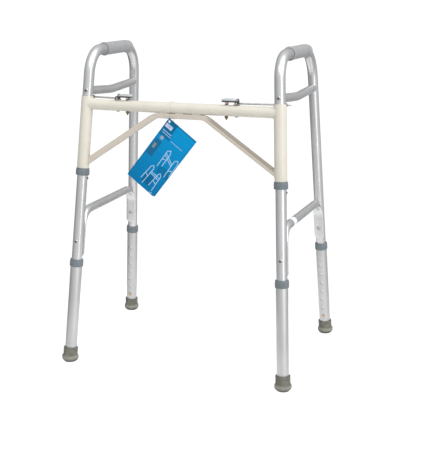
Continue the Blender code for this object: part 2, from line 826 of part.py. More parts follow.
def lock_rod(side, slide):
    """The bent rod that the lever's ear draws back; its tail passes behind the leg."""
    sign = SIDES[side]
    axis = leg_point(side, ROD_Z)
    behind = axis.y + ROD_BEHIND_LEG - BAR_CENTRE.y
    pivot_x = LEVER_X[side]
    inner = abs(axis.x - pivot_x) - 0.013
    outer = abs(axis.x - pivot_x) + ROD_TAIL
    high = PIVOT_Z + ROD_ARM
    corners = [
        towards_middle(side, 0, 0.0047, high),
        towards_middle(side, 0, ROD_BEHIND_BAR, high),
        towards_middle(side, 0, ROD_BEHIND_BAR, ROD_Z),
        towards_middle(side, -0.012, ROD_BEHIND_BAR, ROD_Z),
        towards_middle(side, -inner, behind, ROD_Z),
        towards_middle(side, -outer, behind, ROD_Z),
    ]
    path = rounded(corners, (0.0030, 0.0030, 0.02, 0.02), 3)
    seat = Vector((axis.x + sign * ROD_TAIL, axis.y + ROD_BEHIND_LEG, ROD_Z))
    curve = bpy.data.curves.new(side + "_lock_rod", "CURVE")
    curve.dimensions = "3D"
    curve.bevel_depth = ROD_R
    curve.bevel_resolution = 2
    curve.use_fill_caps = True
    spline = curve.splines.new("POLY")
    spline.points.add(len(path) - 1)
    for point, place in zip(spline.points, path):
        point.co = (*(place - seat), 1)
    curve.materials.append(ZINC)
    rod = bpy.data.objects.new(side + "_lock_rod", curve)
    bpy.context.collection.objects.link(rod)
    put(rod, Matrix.Translation(seat), slide)


def rod_guide(side):
    """A drilled block behind the sleeve's top, through which the rod runs."""
    sign = SIDES[side]
    axis = leg_point(side, ROD_Z)
    near, far = SLEEVE_R + GAP, ROD_BEHIND_LEG + 0.0037
    half_tall, inner, outer = 0.0040, 0.0090, 0.0120
    section = [(near, -half_tall), (far, -half_tall), (far, half_tall), (near, half_tall)]
    rings = [[Vector((x * sign, y, z)) for y, z in section] for x in (-inner, outer)]
    seat = Matrix.Translation(axis)
    block = solid(side + "_rod_guide", skin(rings), seat, DARK_STEEL, front_frame)
    middle = axis + Y * ROD_BEHIND_LEG
    hole = [(middle - X * 0.03, middle + X * 0.03, ROD_R + 0.0004)]
    cut(block, pegs(side + "_guide_drill", hole))


def palm_lever(side):
    pivot = towards_middle(side, 0, 0, PIVOT_Z)
    seat = Matrix.Translation(pivot)
    axis = axis_empty(side + "_lever_axis", seat, front_frame)
    rod_seat = Matrix.Translation(leg_point(side, ROD_Z))
    slide = axis_empty(side + "_rod_axis", rod_seat, front_frame)
    pin = [(pivot - Y * 0.012, pivot + Y * 0.012, 0.0016)]
    pin_drill = pegs(side + "_pin_drill", pin)
    rivet_drill = pegs(side + "_rivet_drill", [(pivot - Z * 0.02, pivot + Z * 0.0015, 0.0025)])
    lever_bracket(side, seat, pin_drill, rivet_drill)
    lever_arm(side, seat, axis, pin_drill)
    lever_pad(side, seat, axis)
    lever_pin(side)
    bracket_rivet(side)
    spring_bolt(side)
    spring_nut(side)
    lever_spring(side)
    lock_rod(side, slide)
    rod_guide(side)


# ---------------------------------------------------------------- hang tag


def hang_tag():
    swing = axis_empty("tag_axis", Matrix.Translation(BAR_CENTRE), front_frame)
    along = Vector((cos(TAG_TURN), 0, sin(TAG_TURN)))
    down = Vector((sin(TAG_TURN), 0, -cos(TAG_TURN)))
    corner = Vector((TAG_CORNER[0], BAR_CENTRE.y - TAG_FORWARD, TAG_CORNER[1]))
    half = Y * TAG_T / 2
    outline = [corner, corner + along * TAG_WIDTH]
    outline += [outline[1] + down * TAG_LENGTH, corner + down * TAG_LENGTH]
    hole = corner + (along + down) * TAG_HOLE
    rings = [[p - hole + way for p in outline] for way in (-half, half)]
    card = solid("tag_card", skin(rings), Matrix.Translation(hole), CARD, swing)
    cut(card, pegs("tag_punch", [(hole - Y * 0.01, hole + Y * 0.01, 0.0030)], 10))

    centre = Vector((hole.x, BAR_CENTRE.y, BAR_Z - LOOP_DROP))
    rings = []
    steps = 24
    for k in range(steps):
        angle = 2 * pi * k / steps
        out = Vector((0, cos(angle), sin(angle)))
        rings.append(oval(out * LOOP_R, out, X, LOOP_WIRE_R, LOOP_WIRE_R, 5))
    loop = skin(rings, wrap=True)
    solid("tag_loop", loop, Matrix.Translation(centre), CLEAR_PLASTIC, swing)


# ---------------------------------------------------------------- assembly

shadows = [sleeve_shadow(side) for side in SIDES]
crossbar(shadows)
cross_brace(shadows)
for side in SIDES:
    pivot_sleeve(side)
    fold_axis = side_frame(side)
    for end in ("front", "rear"):
        leg(end, side, fold_axis)
    palm_lever(side)
hang_tag()
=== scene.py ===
"""Looks of a folding walking frame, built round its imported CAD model.

Metres, +Z up, the origin on the floor at the middle of the four feet. The front, with the crossbar, faces -Y.
Left is -X, as seen from the front.
"""

from math import cos, pi, radians, sin, sqrt, tan

import bmesh
import bpy
from mathutils import Matrix, Vector


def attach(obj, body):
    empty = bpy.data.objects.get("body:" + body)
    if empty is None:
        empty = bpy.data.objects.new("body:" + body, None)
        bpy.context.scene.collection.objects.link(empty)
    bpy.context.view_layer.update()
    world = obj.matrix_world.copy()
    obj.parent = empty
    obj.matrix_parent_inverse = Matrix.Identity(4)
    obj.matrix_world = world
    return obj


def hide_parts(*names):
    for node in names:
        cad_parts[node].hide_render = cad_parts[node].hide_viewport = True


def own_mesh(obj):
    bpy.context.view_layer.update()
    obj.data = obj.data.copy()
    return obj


X, Y, Z = Vector((1, 0, 0)), Vector((0, 1, 0)), Vector((0, 0, 1))
SIDES = {"left": -1, "right": 1}
ENDS = ("front", "rear")
GAP = 0.0003

# Stance
FRONT_HALF_WIDTH = 0.2849
FRONT_Y = -0.2227
LEAN_IN = 0.0596
LEAN_BACK = 0.0716
SPLAY = 0.0379
FOOTPRINT = 0.4463
RAKE = 0.1854

# Side tube and its grip
TUBE_R = 0.0131
TUBE_WALL = 0.0012
TUBE_FOOT = 0.0355
HANDLE_FRONT_Z = 0.7914
HANDLE_RISE = 0.0253
FRONT_BEND = 0.060
REAR_BEND = 0.082
GRIP_R = 0.0160
GRIP_START = 0.083
GRIP_END = 0.246

# Leg extensions
EXT_R = 0.0148
EXT_WALL = 0.0014
EXT_FOOT = 0.0081
EXT_TOP = 0.2640
HOLE_PITCH = 0.0254
HOLE_COUNT = 7
HOLE_R = 0.0042
BUTTON_HEIGHT = 0.0550
COLLAR_R = 0.0170
COLLAR_FOOT = 0.2515
COLLAR_TOP = 0.2703

# Front frame
SLEEVE_R = 0.0150
SLEEVE_BORE = 0.0134
SLEEVE_FOOT = 0.5034
SLEEVE_TOP = 0.6815
STOP_FOOT = 0.4855
BAR_R = 0.01325
BAR_Z = 0.6620
BRACE_Z = 0.6425
BRACE_HALF_FLAT = 0.063
BRACE_END_Z = 0.5125
BRACE_HALF = 0.0070
BRACE_FLAT_HALF = 0.0062

# Side braces
UPPER_R = 0.0105
UPPER_FRONT_Z = 0.6950
UPPER_DIP_BACK = 0.150
UPPER_DIP_Z = 0.6885
UPPER_REAR_Z = 0.6985
LOWER_R = 0.0105
LOWER_Z = 0.390
LOWER_BEND = 0.045
LABEL_START = 0.165
LABEL_END = 0.190
STRAP_FRONT_FOOT = 0.273
STRAP_REAR_FOOT = 0.284
STRAP_HALF_WIDTH = 0.0130
STRAP_HALF_THICK = 0.0020
STRAP_FLAT = 0.072
STRAP_BLEND = 0.055
RIVET_Z = 0.3165

# Palm levers. Reach is measured from the pivot towards the middle of the bar.
LEVER_X = {"left": -0.1625, "right": 0.1405}
BOLT_REACH = 0.0250
PAD_START = 0.0045
PAD_END = 0.0365
BOLT_FOOT_Z = 0.6400
THREAD_STEP = 0.0004
PIVOT_Z = 0.6795
ROD_ARM = 0.0065
ROD_Z = 0.6785
ROD_R = 0.0022
ROD_BEHIND_LEG = 0.0190
ROD_BEHIND_BAR = 0.0108
ROD_TAIL = 0.0220
PLATE_Z = 0.6828
PLATE_T = 0.0015
ARM_HALF = 0.0070
EAR_HALF = 0.0054
SHEET = 0.0012
PAD_HALF = 0.0080
PAD_T = 0.0055

# Hang tag
TAG_LENGTH = 0.180
TAG_WIDTH = 0.0885
TAG_TURN = radians(-37.4)
TAG_CORNER = (-0.0235, 0.6395)
TAG_FORWARD = 0.0140
TAG_HOLE = 0.0065
LOOP_R = 0.0260
LOOP_DROP = 0.0097
LEAF_COLUMNS = 14
LEAF_ROWS = 28
LEAF_T = 0.00030
LEAF_BOW = 0.0012

# The floor lies below the lowest reach of the feet.
FLOOR_Z = -0.156
FLOOR_CORNERS = ((-0.9, -0.8), (0.9, -0.8), (0.9, 0.9), (-0.9, 0.9))

# Weld beads and the small rivets and pins
WELD_R = 0.0011
STITCH_R = 0.0013
STITCH_LENGTH = 0.020
STITCHES = {"left": -0.042, "mid": 0.0, "right": 0.042}
RIVET_HEAD_R = 0.0056
RIVET_HEAD_T = 0.0020
RIVET_SUNK = 0.0004

# Camera
CAMERA_AT = (0.734, -2.1877, 0.874)
CAMERA_YAW = radians(17.684)
CAMERA_PITCH = radians(13.084)
CAMERA_ROLL = radians(0.844)
LENS = 71.28
SENSOR = 36

# Light
ROOM_COLOUR = (0.95, 0.975, 1.0, 1)
ROOM_LEVEL = 0.65
# What the room's brightness gains towards +X, +Y and +Z.
ROOM_LEAN = (0.20, -0.20, 0.32)
BACKDROP_LEVEL = 1.05
KEY_POWER = 9
OVERHEAD_POWER = 7
CEILING_POWER = 1.35
CEILING_SPREAD = radians(70)
CEILING_TURN = (radians(16), radians(34), 0)

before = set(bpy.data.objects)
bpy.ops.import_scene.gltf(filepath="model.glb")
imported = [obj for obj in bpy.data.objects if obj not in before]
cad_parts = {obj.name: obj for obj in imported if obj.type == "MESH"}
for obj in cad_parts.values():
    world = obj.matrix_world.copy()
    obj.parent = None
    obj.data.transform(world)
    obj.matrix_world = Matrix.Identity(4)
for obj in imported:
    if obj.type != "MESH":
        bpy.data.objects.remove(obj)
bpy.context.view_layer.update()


# ---------------------------------------------------------------- camera, floor and light


def place_camera():
    ahead = Vector((-sin(CAMERA_YAW), cos(CAMERA_YAW), 0))
    level = Vector((cos(CAMERA_YAW), sin(CAMERA_YAW), 0))
    forward = ahead * cos(CAMERA_PITCH) - Z * sin(CAMERA_PITCH)
    above = level.cross(forward)
    right = level * cos(CAMERA_ROLL) + above * sin(CAMERA_ROLL)
    top = above * cos(CAMERA_ROLL) - level * sin(CAMERA_ROLL)
    data = bpy.data.cameras.new("camera")
    data.lens = LENS
    data.sensor_width = SENSOR
    camera = bpy.data.objects.new("camera", data)
    bpy.context.collection.objects.link(camera)
    seat = Matrix((right, top, -forward)).transposed().to_4x4()
    seat.translation = Vector(CAMERA_AT)
    camera.matrix_world = seat
    bpy.context.scene.camera = camera


def lamp(name, kind, power):
    data = bpy.data.lights.new(name, kind)
    data.energy = power
    light = bpy.data.objects.new(name, data)
    bpy.context.collection.objects.link(light)
    return light, data


def softbox(name, place, aim, size, power):
    light, data = lamp(name, "AREA", power)
    data.shape = "RECTANGLE"
    data.size, data.size_y = size
    light.location = place
    light.rotation_euler = (Vector(aim) - Vector(place)).to_track_quat("-Z", "Y").to_euler()


def studio():
    """Soft light from above and the right. The camera sees white, and metal sees a darker room."""
    bpy.context.scene.view_settings.view_transform = "Standard"
    world = bpy.data.worlds.new("studio")
    world.use_nodes = True
    bpy.context.scene.world = world
    nodes, links = world.node_tree.nodes, world.node_tree.links
    room = nodes["Background"]
    room.inputs["Color"].default_value = ROOM_COLOUR
    # The room is brighter to the right, to the front and overhead.
    compass = nodes.new("ShaderNodeTexCoord")
    lean = nodes.new("ShaderNodeVectorMath")
    lean.operation = "DOT_PRODUCT"
    lean.inputs[1].default_value = ROOM_LEAN
    links.new(compass.outputs["Generated"], lean.inputs[0])
    lift = nodes.new("ShaderNodeMath")
    lift.inputs[1].default_value = ROOM_LEVEL
    links.new(lean.outputs["Value"], lift.inputs[0])
    links.new(lift.outputs[0], room.inputs["Strength"])
    bright = nodes.new("ShaderNodeBackground")
    bright.inputs["Color"].default_value = (1, 1, 1, 1)
    bright.inputs["Strength"].default_value = BACKDROP_LEVEL
    rays = nodes.new("ShaderNodeLightPath")
    either = nodes.new("ShaderNodeMixShader")
    links.new(rays.outputs["Is Camera Ray"], either.inputs[0])
    links.new(room.outputs[0], either.inputs[1])
    links.new(bright.outputs[0], either.inputs[2])
    links.new(either.outputs[0], nodes["World Output"].inputs["Surface"])
    softbox("key", (2.3, -1.75, 0.60), (0.1, 0, 0.50), (0.5, 1.9), KEY_POWER)
    softbox("overhead", (0.35, -1.5, 2.3), (0, 0, 0.66), (1.7, 0.35), OVERHEAD_POWER)
    ceiling, data = lamp("ceiling", "SUN", CEILING_POWER)
    data.angle = CEILING_SPREAD
    ceiling.rotation_euler = CEILING_TURN


# ---------------------------------------------------------------- shader maths


class Tone:
    """A number or colour that varies over a surface, with arithmetic on numbers."""

    def __init__(self, surface, socket):
        self.surface = surface
        self.socket = socket

    def _maths(self, operation, a, b):
        return self.surface.node("ShaderNodeMath", {"operation": operation}, {0: a, 1: b})

    def __add__(self, other):
        return self._maths("ADD", self, other)

    __radd__ = __add__

    def __sub__(self, other):
        return self._maths("SUBTRACT", self, other)

    def __rsub__(self, other):
        return self._maths("SUBTRACT", other, self)

    def __mul__(self, other):
        return self._maths("MULTIPLY", self, other)

    __rmul__ = __mul__

    def __gt__(self, other):
        return self._maths("GREATER_THAN", self, other)

    def __lt__(self, other):
        return self._maths("LESS_THAN", self, other)

    def size(self):
        return self._maths("ABSOLUTE", self, 0.0)


class Surface:
    """One material: a Principled shader and what feeds it."""

    def __init__(self, name, colour, roughness, metallic=0.0, **fixed):
        self.material = bpy.data.materials.new(name)
        self.material.use_nodes = True
        self.tree = self.material.node_tree
        self.shader = self.tree.nodes["Principled BSDF"]
        self.feed({"Base Color": (*colour, 1), "Roughness": roughness, "Metallic": metallic})
        self.feed({key.replace("_", " "): value for key, value in fixed.items()})
        self.colour = (*colour, 1)

    def feed(self, values, node=None):
        """Sets or links sockets, by name or number."""
        inputs = (node or self.shader).inputs
        for key, value in values.items():
            if isinstance(value, Tone):
                self.tree.links.new(value.socket, inputs[key])
            else:
                inputs[key].default_value = value

    def node(self, kind, settings, values, output=0):
        """Adds a node, with its settings first, and gives one of its outputs."""
        made = self.tree.nodes.new(kind)
        for key, value in settings.items():
            if key == "stops":
                ramp = made.color_ramp.elements
                ramp[0].position, ramp[1].position = value[0][0], value[-1][0]
                ramp[0].color, ramp[1].color = value[0][1], value[-1][1]
                for position, colour in value[1:-1]:
                    ramp.new(position).color = colour
            else:
                setattr(made, key, value)
        self.feed(values, made)
        return Tone(self, made.outputs[output])

    def place(self, scale=(1, 1, 1), shift=(0, 0, 0)):
        """The point on the object, in metres."""
        point = self.node("ShaderNodeTexCoord", {}, {}, "Object")
        return self.node("ShaderNodeMapping", {}, {"Vector": point, "Location": shift, "Scale": scale})

    def axis(self, point, letter):
        return self.node("ShaderNodeSeparateXYZ", {}, {0: point}, letter)

    def noise(self, scale, detail=3.0, where=None):
        values = {"Vector": where or self.place(), "Scale": scale, "Detail": detail}
        return self.node("ShaderNodeTexNoise", {}, values, "Fac")

    def spread(self, tone, low, high, to_low, to_high):
        values = {"Value": tone, 1: low, 2: high, 3: to_low, 4: to_high}
        return self.node("ShaderNodeMapRange", {}, values)

    def blend(self, amount, first, second):
        """A colour between two others."""
        keys = {"data_type": "RGBA"}
        values = {0: amount, 6: first, 7: second}
        return self.node("ShaderNodeMix", keys, values, 2)

    def worn(self, scale, low, high):
        """Roughness that wanders between two values."""
        self.feed({"Roughness": self.spread(self.noise(scale), 0.3, 0.7, low, high)})

    def emboss(self, scale, detail, strength, distance):
        """A fine grain in relief."""
        bump = {"Height": self.noise(scale, detail), "Strength": strength, "Distance": distance}
        self.feed({"Normal": self.node("ShaderNodeBump", {}, bump)})

    def mottle(self, scale, amount):
        """Uneven tone over the base colour."""
        lighter = [min(1.0, c * (1 + amount)) for c in self.colour[:3]] + [1]
        darker = [c * (1 - amount) for c in self.colour[:3]] + [1]
        patches = self.spread(self.noise(scale), 0.35, 0.65, 0.0, 1.0)
        return self.blend(patches, darker, lighter)


def powder_coat(name, colour):
    paint = Surface(name, colour, 0.36, Coat_Weight=0.25, Coat_Roughness=0.2)
    grime = paint.spread(paint.noise(30.0, 5.0), 0.30, 0.46, 1.0, 0.0)
    paint.feed({"Base Color": paint.blend(grime * 0.16, paint.mottle(9.0, 0.02), (0.52, 0.45, 0.34, 1))})
    paint.worn(160.0, 0.30, 0.44)
    paint.emboss(420.0, 2.0, 0.10, 0.0006)
    return paint.material


def brace_coat():
    """A duller, darker coat, with painted shade as a darker stripe along the top of the right-hand slope."""
    end = Vector((leg_point("right", BRACE_END_Z).x, BRACE_END_Z))
    start = Vector((BRACE_HALF_FLAT, BRACE_Z))
    way = (end - start).normalized()
    colour = (0.56, 0.495, 0.420)
    paint = Surface("cream_powder_coat_brace", colour, 0.42, Coat_Weight=0.15, Coat_Roughness=0.3)
    spot = paint.place()
    x, z = paint.axis(spot, "X"), paint.axis(spot, "Z")
    above = (z - start.y) * way.x - (x - start.x) * way.y
    along = (x - start.x) * way.x + (z - start.y) * way.y
    # Painted shade: a dark stripe along the top of the right-hand slope, fading in from the bend.
    shade_stripe = paint.spread(above, 0.0000, 0.0030, 0.10, 0.80) * paint.spread(along, 0.0, 0.02, 0.0, 1.0)
    paint.feed({"Base Color": paint.blend(shade_stripe, paint.mottle(9.0, 0.02), (0.26, 0.215, 0.165, 1))})
    paint.emboss(900.0, 2.0, 0.05, 0.0002)
    return paint.material


def satin_aluminium(name, level, roughness):
    """Anodised tube, with faint draw lines and a slight cloudiness."""
    metal = Surface(name, (level, level * 0.985, level * 0.975), roughness, 1.0)
    drawn = metal.noise(700.0, 2.0, metal.place(scale=(1, 1, 0.03)))
    cloud = metal.spread(metal.noise(14.0, 2.0), 0.35, 0.65, 0.0, 1.0)
    dull, clean = [level * k for k in (0.97, 0.955, 0.945)], [level * k for k in (1.03, 1.015, 1.005)]
    metal.feed({"Base Color": metal.blend(cloud, (*dull, 1), (*clean, 1))})
    metal.feed({"Roughness": metal.spread(drawn, 0.3, 0.7, roughness - 0.02, roughness + 0.03)})
    return metal.material


def slate_plastic():
    plastic = Surface("slate_plastic", (0.150, 0.175, 0.188), 0.46, Specular_IOR_Level=0.35)
    plastic.feed({"Base Color": plastic.mottle(120.0, 0.10)})
    plastic.worn(500.0, 0.40, 0.56)
    plastic.emboss(1500.0, 2.0, 0.12, 0.0003)
    return plastic.material


def grey_vinyl():
    vinyl = Surface("grey_vinyl", (0.325, 0.322, 0.325), 0.58, Specular_IOR_Level=0.35)
    worn = vinyl.spread(vinyl.noise(34.0, 4.0), 0.42, 0.68, 0.0, 0.4)
    vinyl.feed({"Base Color": vinyl.blend(worn, vinyl.mottle(70.0, 0.06), (0.38, 0.385, 0.39, 1))})
    vinyl.worn(300.0, 0.50, 0.68)
    vinyl.emboss(1300.0, 4.0, 0.35, 0.0006)
    return vinyl.material


def grey_rubber():
    """Dark at the sole, dusty in patches, with a painted highlight as a paler band round the bulge."""
    rubber = Surface("grey_rubber", (0.135, 0.130, 0.108), 0.72, Specular_IOR_Level=0.25)
    height = rubber.axis(rubber.place(), "Z")
    sole = rubber.spread(height, 0.0015, 0.0070, 0.75, 0.0)
    dust = rubber.spread(rubber.noise(90.0, 5.0), 0.45, 0.70, 0.0, 0.45)
    body = rubber.blend(dust, rubber.mottle(60.0, 0.10), (0.24, 0.23, 0.19, 1))
    # Painted highlight: a paler band round the upper part of the bulge.
    swell_highlight = rubber.spread(height, 0.0060, 0.0115, 0.0, 0.55) * rubber.spread(height, 0.0140, 0.0175, 1.0, 0.0)
    body = rubber.blend(swell_highlight, body, (0.31, 0.30, 0.25, 1))
    rubber.feed({"Base Color": rubber.blend(sole, body, (0.045, 0.042, 0.036, 1))})
    rubber.worn(250.0, 0.62, 0.84)
    rubber.emboss(900.0, 4.0, 0.30, 0.0006)
    return rubber.material


def plated(name, colour, roughness, stain, stain_amount):
    """Plated or bright metal, with stains and fine scratches."""
    metal = Surface(name, colour, roughness, 1.0)
    spots = metal.spread(metal.noise(260.0, 5.0), 0.50, 0.72, 0.0, stain_amount)
    metal.feed({"Base Color": metal.blend(spots, metal.mottle(150.0, 0.08), (*stain, 1))})
    metal.worn(700.0, roughness - 0.08, roughness + 0.12)
    metal.emboss(1800.0, 3.0, 0.12, 0.0002)
    return metal.material


def pad_plastic():
    plastic = Surface("pad_plastic", (0.50, 0.52, 0.52), 0.42)
    plastic.feed({"Base Color": plastic.mottle(180.0, 0.05)})
    plastic.worn(400.0, 0.36, 0.50)
    plastic.emboss(1600.0, 2.0, 0.15, 0.0003)
    return plastic.material


def clear_cord():
    plastic = Surface("clear_cord", (0.78, 0.79, 0.78), 0.25, Transmission_Weight=0.35)
    plastic.worn(500.0, 0.2, 0.35)
    return plastic.material


def blank_label():
    paper = Surface("blank_label", (0.84, 0.85, 0.85), 0.5)
    paper.feed({"Base Color": paper.mottle(300.0, 0.02)})
    paper.emboss(1500.0, 3.0, 0.1, 0.0002)
    return paper.material


def printed_card(corner):
    """Blue card in several tones, with blank patches, ruled lines and plain line drawings of a frame.

    Along and down are metres from the card's top corner, along its short and its long edge.
    """
    card = Surface("tag_card", (0.0, 0.19, 0.46), 0.5, Specular_IOR_Level=0.12)
    local = card.place(shift=tuple(-c for c in corner))
    about_y = {"rotation_type": "Y_AXIS"}
    turned = card.node("ShaderNodeVectorRotate", about_y, {"Vector": local, "Angle": TAG_TURN})
    along, down = card.axis(turned, "X"), 0.0 - card.axis(turned, "Z")

    def box(a0, a1, d0, d1):
        """1 inside a rectangle of the card."""
        return (along > a0) * (along < a1) * (down > d0) * (down < d1)

    def stroke(a0, d0, a1, d1, half=0.00085):
        """1 on a straight line of the drawing."""
        length = sqrt((a1 - a0) ** 2 + (d1 - d0) ** 2)
        ua, ud = (a1 - a0) / length, (d1 - d0) / length
        run = (along - a0) * ua + (down - d0) * ud
        off = ((down - d0) * ua - (along - a0) * ud).size()
        return (off < half) * (run > 0.0) * (run < length)

    # Areas in millimetres along and down, each with its strength and its colour.
    deep, pale = (0.0, 0.062, 0.155, 1), (0.0, 0.290, 0.600, 1)
    tone = card.blend(card.spread(down, 0.0, 0.17, 0.15, 1.0), pale, (0.0, 0.165, 0.375, 1))
    areas = (
        ((-1, 30, -1, 30), 0.70, deep),
        ((-1, 34, 30, 46), 0.55, deep),
        ((-1, 90, -1, 4), 0.45, deep),
        ((-1, 3, 46, 186), 0.40, deep),
        ((4, 22, 58, 104), 0.55, (0.02, 0.045, 0.075, 1)),
        ((7, 14, 70, 84), 0.40, (0.42, 0.40, 0.24, 1)),
        ((11, 19, 45, 54), 0.60, (0.50, 0.42, 0.36, 1)),
        ((3, 23, 12, 22), 0.85, (0.60, 0.66, 0.80, 1)),
        ((8, 18, 15, 19), 0.55, (0.30, 0.28, 0.50, 1)),
        ((36, 62, 140, 168), 0.50, deep),
        ((52, 88, 104, 126), 0.35, deep),
    )
    for (a0, a1, d0, d1), strength, colour in areas:
        tone = card.blend(box(a0 / 1000, a1 / 1000, d0 / 1000, d1 / 1000) * strength, tone, colour)
    # Two frames seen from a corner, drawn in straight strokes, and a short dash at the foot.
    # Each stroke is given in millimetres: along and down at its start, then at its end.
    strokes = [
        (46, 66, 47, 113), (46, 66, 53, 60), (53, 60, 57, 70), (57, 70, 57, 106), (46, 90, 57, 86),
        (47, 72, 76, 86), (47, 77, 76, 91), (75, 74, 77, 124), (75, 74, 82, 68), (82, 68, 86, 76),
        (86, 76, 86, 114), (76, 104, 86, 98), (36, 122, 32, 163), (36, 122, 41, 117), (41, 117, 45, 124),
        (45, 124, 42, 172), (34, 144, 43, 148), (43, 133, 70, 134), (43, 137, 70, 139),
        (62, 128, 59, 166), (62, 128, 66, 122), (66, 122, 71, 128), (71, 128, 73, 172),
        (61, 148, 72, 152), (70, 178, 78, 176),
    ]
    ink = None
    for stroke_ends in strokes:
        mark = stroke(*(end / 1000 for end in stroke_ends))
        ink = mark if ink is None else ink + mark
    rules = box(0.038, 0.074, 0.0415, 0.0425)
    rules += box(0.004, 0.031, 0.0300, 0.0318)
    rules += box(0.006, 0.033, 0.0360, 0.0374)
    ink = card.spread(ink + rules, 0.0, 1.0, 0.0, 0.72)
    tone = card.blend(ink, tone, (0.55, 0.70, 0.84, 1))
    card.feed({"Base Color": tone})
    card.worn(300.0, 0.28, 0.42)
    card.emboss(700.0, 3.0, 0.08, 0.0003)
    return card.material


# ---------------------------------------------------------------- mesh helpers


def skin(rings, wrap=False):
    """Joins rings of points into one closed body. Wrapped, the last ring meets the first."""
    bm = bmesh.new()
    loops = [[bm.verts.new(point) for point in ring] for ring in rings]
    nexts = loops[1:] + loops[:1] if wrap else loops[1:]
    for here, there in zip(loops, nexts):
        for i, corner in enumerate(here):
            j = (i + 1) % len(here)
            bm.faces.new((corner, here[j], there[j], there[i]))
    if not wrap:
        bm.faces.new(loops[0])
        bm.faces.new(loops[-1])
    return bm


def oval(centre, across, upward, half_across, half_up, count):
    turns = [2 * pi * k / count for k in range(count)]
    return [centre + across * half_across * cos(t) + upward * half_up * sin(t) for t in turns]


def turned(centre, way, outline, count, side=X):
    """Rings about an axis, from radii and distances along it."""
    return [oval(centre + way * z, side, way.cross(side), r, r, count) for r, z in outline]


def softened(profile, radius, steps=3):
    """The same closed outline with its corners rounded."""
    out = []
    for k, point in enumerate(profile):
        here = Vector(point)
        back = Vector(profile[k - 1]) - here
        onward = Vector(profile[(k + 1) % len(profile)]) - here
        reach = min(radius, back.length * 0.45, onward.length * 0.45)
        start, end = here + back.normalized() * reach, here + onward.normalized() * reach
        for i in range(steps + 1):
            t = i / steps
            spot = start * (1 - t) ** 2 + here * 2 * t * (1 - t) + end * t * t
            out.append((spot.x, spot.y))
    return out


def round_body(outline, soften):
    """A ring about Z, from its closed outline of radii and heights."""
    return skin(turned(Vector(), Z, softened(outline, soften), 48), wrap=True)


def smooth(share):
    """Eases from 0 to 1, and stays there outside that range."""
    share = min(max(share, 0.0), 1.0)
    return share * share * (3 - 2 * share)


def heading(path, k):
    """The direction of an open path at one of its points."""
    return (path[min(k + 1, len(path) - 1)] - path[max(k - 1, 0)]).normalized()


def rounded(corners, radii, steps):
    """A path through corners, with an arc of the given radius at each inner one."""
    path = [corners[0]]
    for before, corner, after, radius in zip(corners, corners[1:], corners[2:], radii):
        back = (before - corner).normalized()
        onward = (after - corner).normalized()
        half = back.angle(onward) / 2
        start = corner + back * radius / tan(half)
        centre = corner + (back + onward).normalized() * radius / sin(half)
        turn = pi - 2 * half
        axis = back.cross(onward).normalized()
        for k in range(steps + 1):
            path.append(centre + Matrix.Rotation(-turn * k / steps, 3, axis) @ (start - centre))
    path.append(corners[-1])
    return path


def split_long(path, longest):
    out = [path[0]]
    for a, b in zip(path, path[1:]):
        parts = max(1, round((b - a).length / longest))
        out += [a.lerp(b, k / parts) for k in range(1, parts + 1)]
    return out


def distances(path):
    out = [0.0]
    for a, b in zip(path, path[1:]):
        out.append(out[-1] + (b - a).length)
    return out


def stretch(path, first, last):
    """The part of a path between two distances along it."""
    along = distances(path)

    def at(distance):
        k = max(i for i, d in enumerate(along[:-1]) if d <= distance)
        return path[k].lerp(path[k + 1], (distance - along[k]) / (along[k + 1] - along[k]))

    inner = [p for p, d in zip(path, along) if first + 0.001 < d < last - 0.001]
    return [at(first)] + inner + [at(last)]


def swept_rings(path, across, size, count):
    """Rings along a flat path. size(distance, length) gives half width and half thickness."""
    along = distances(path)
    rings = []
    for k, point in enumerate(path):
        way = heading(path, k)
        rings.append(oval(point, across, across.cross(way), *size(along[k], along[-1]), count))
    return rings


def hollow(path, across, size, wall, count):
    outer = swept_rings(path, across, size, count)

    def bore(distance, length):
        a, b = size(distance, length)
        return a - wall, max(b - wall, 0.0005)

    return skin(outer + swept_rings(path, across, bore, count)[::-1], wrap=True)


def wire(path, radius, count, loop=False):
    """A round wire along any path, kept from twisting."""
    rings = []
    side = (path[1] - path[0]).normalized().orthogonal().normalized()
    for k, point in enumerate(path):
        way = (path[(k + 1) % len(path)] - path[k - 1]).normalized() if loop else heading(path, k)
        side = (side - way * side.dot(way)).normalized()
        here = radius(k) if callable(radius) else radius
        rings.append(oval(point, side, way.cross(side), here, here, count))
    return skin(rings, wrap=loop)


def constant(radius):
    return lambda distance, length: (radius, radius)


def mesh_object(name, bm, where=None):
    bmesh.ops.recalc_face_normals(bm, faces=bm.faces)
    mesh = bpy.data.meshes.new(name)
    if where:
        bm.transform(where)
    bm.to_mesh(mesh)
    bm.free()
    obj = bpy.data.objects.new(name, mesh)
    bpy.context.collection.objects.link(obj)
    return obj


def settle(obj):
    """Applies an object's modifiers."""
    graph = bpy.context.evaluated_depsgraph_get()
    mesh = bpy.data.meshes.new_from_object(obj.evaluated_get(graph))
    obj.modifiers.clear()
    obj.data = mesh


def cut(obj, cutters):
    for cutter in cutters:
        modifier = obj.modifiers.new("cut", "BOOLEAN")
        modifier.operation = "DIFFERENCE"
        modifier.solver = "EXACT"
        modifier.object = cutter
    settle(obj)
    for cutter in cutters:
        bpy.data.objects.remove(cutter)


def peg(start, end, radius, count=24):
    way = (end - start).normalized()
    side = Matrix.Rotation(radians(3), 3, way) @ way.orthogonal().normalized()
    rings = [oval(p, side, way.cross(side), radius, radius, count) for p in (start, end)]
    return mesh_object("cutter", skin(rings))


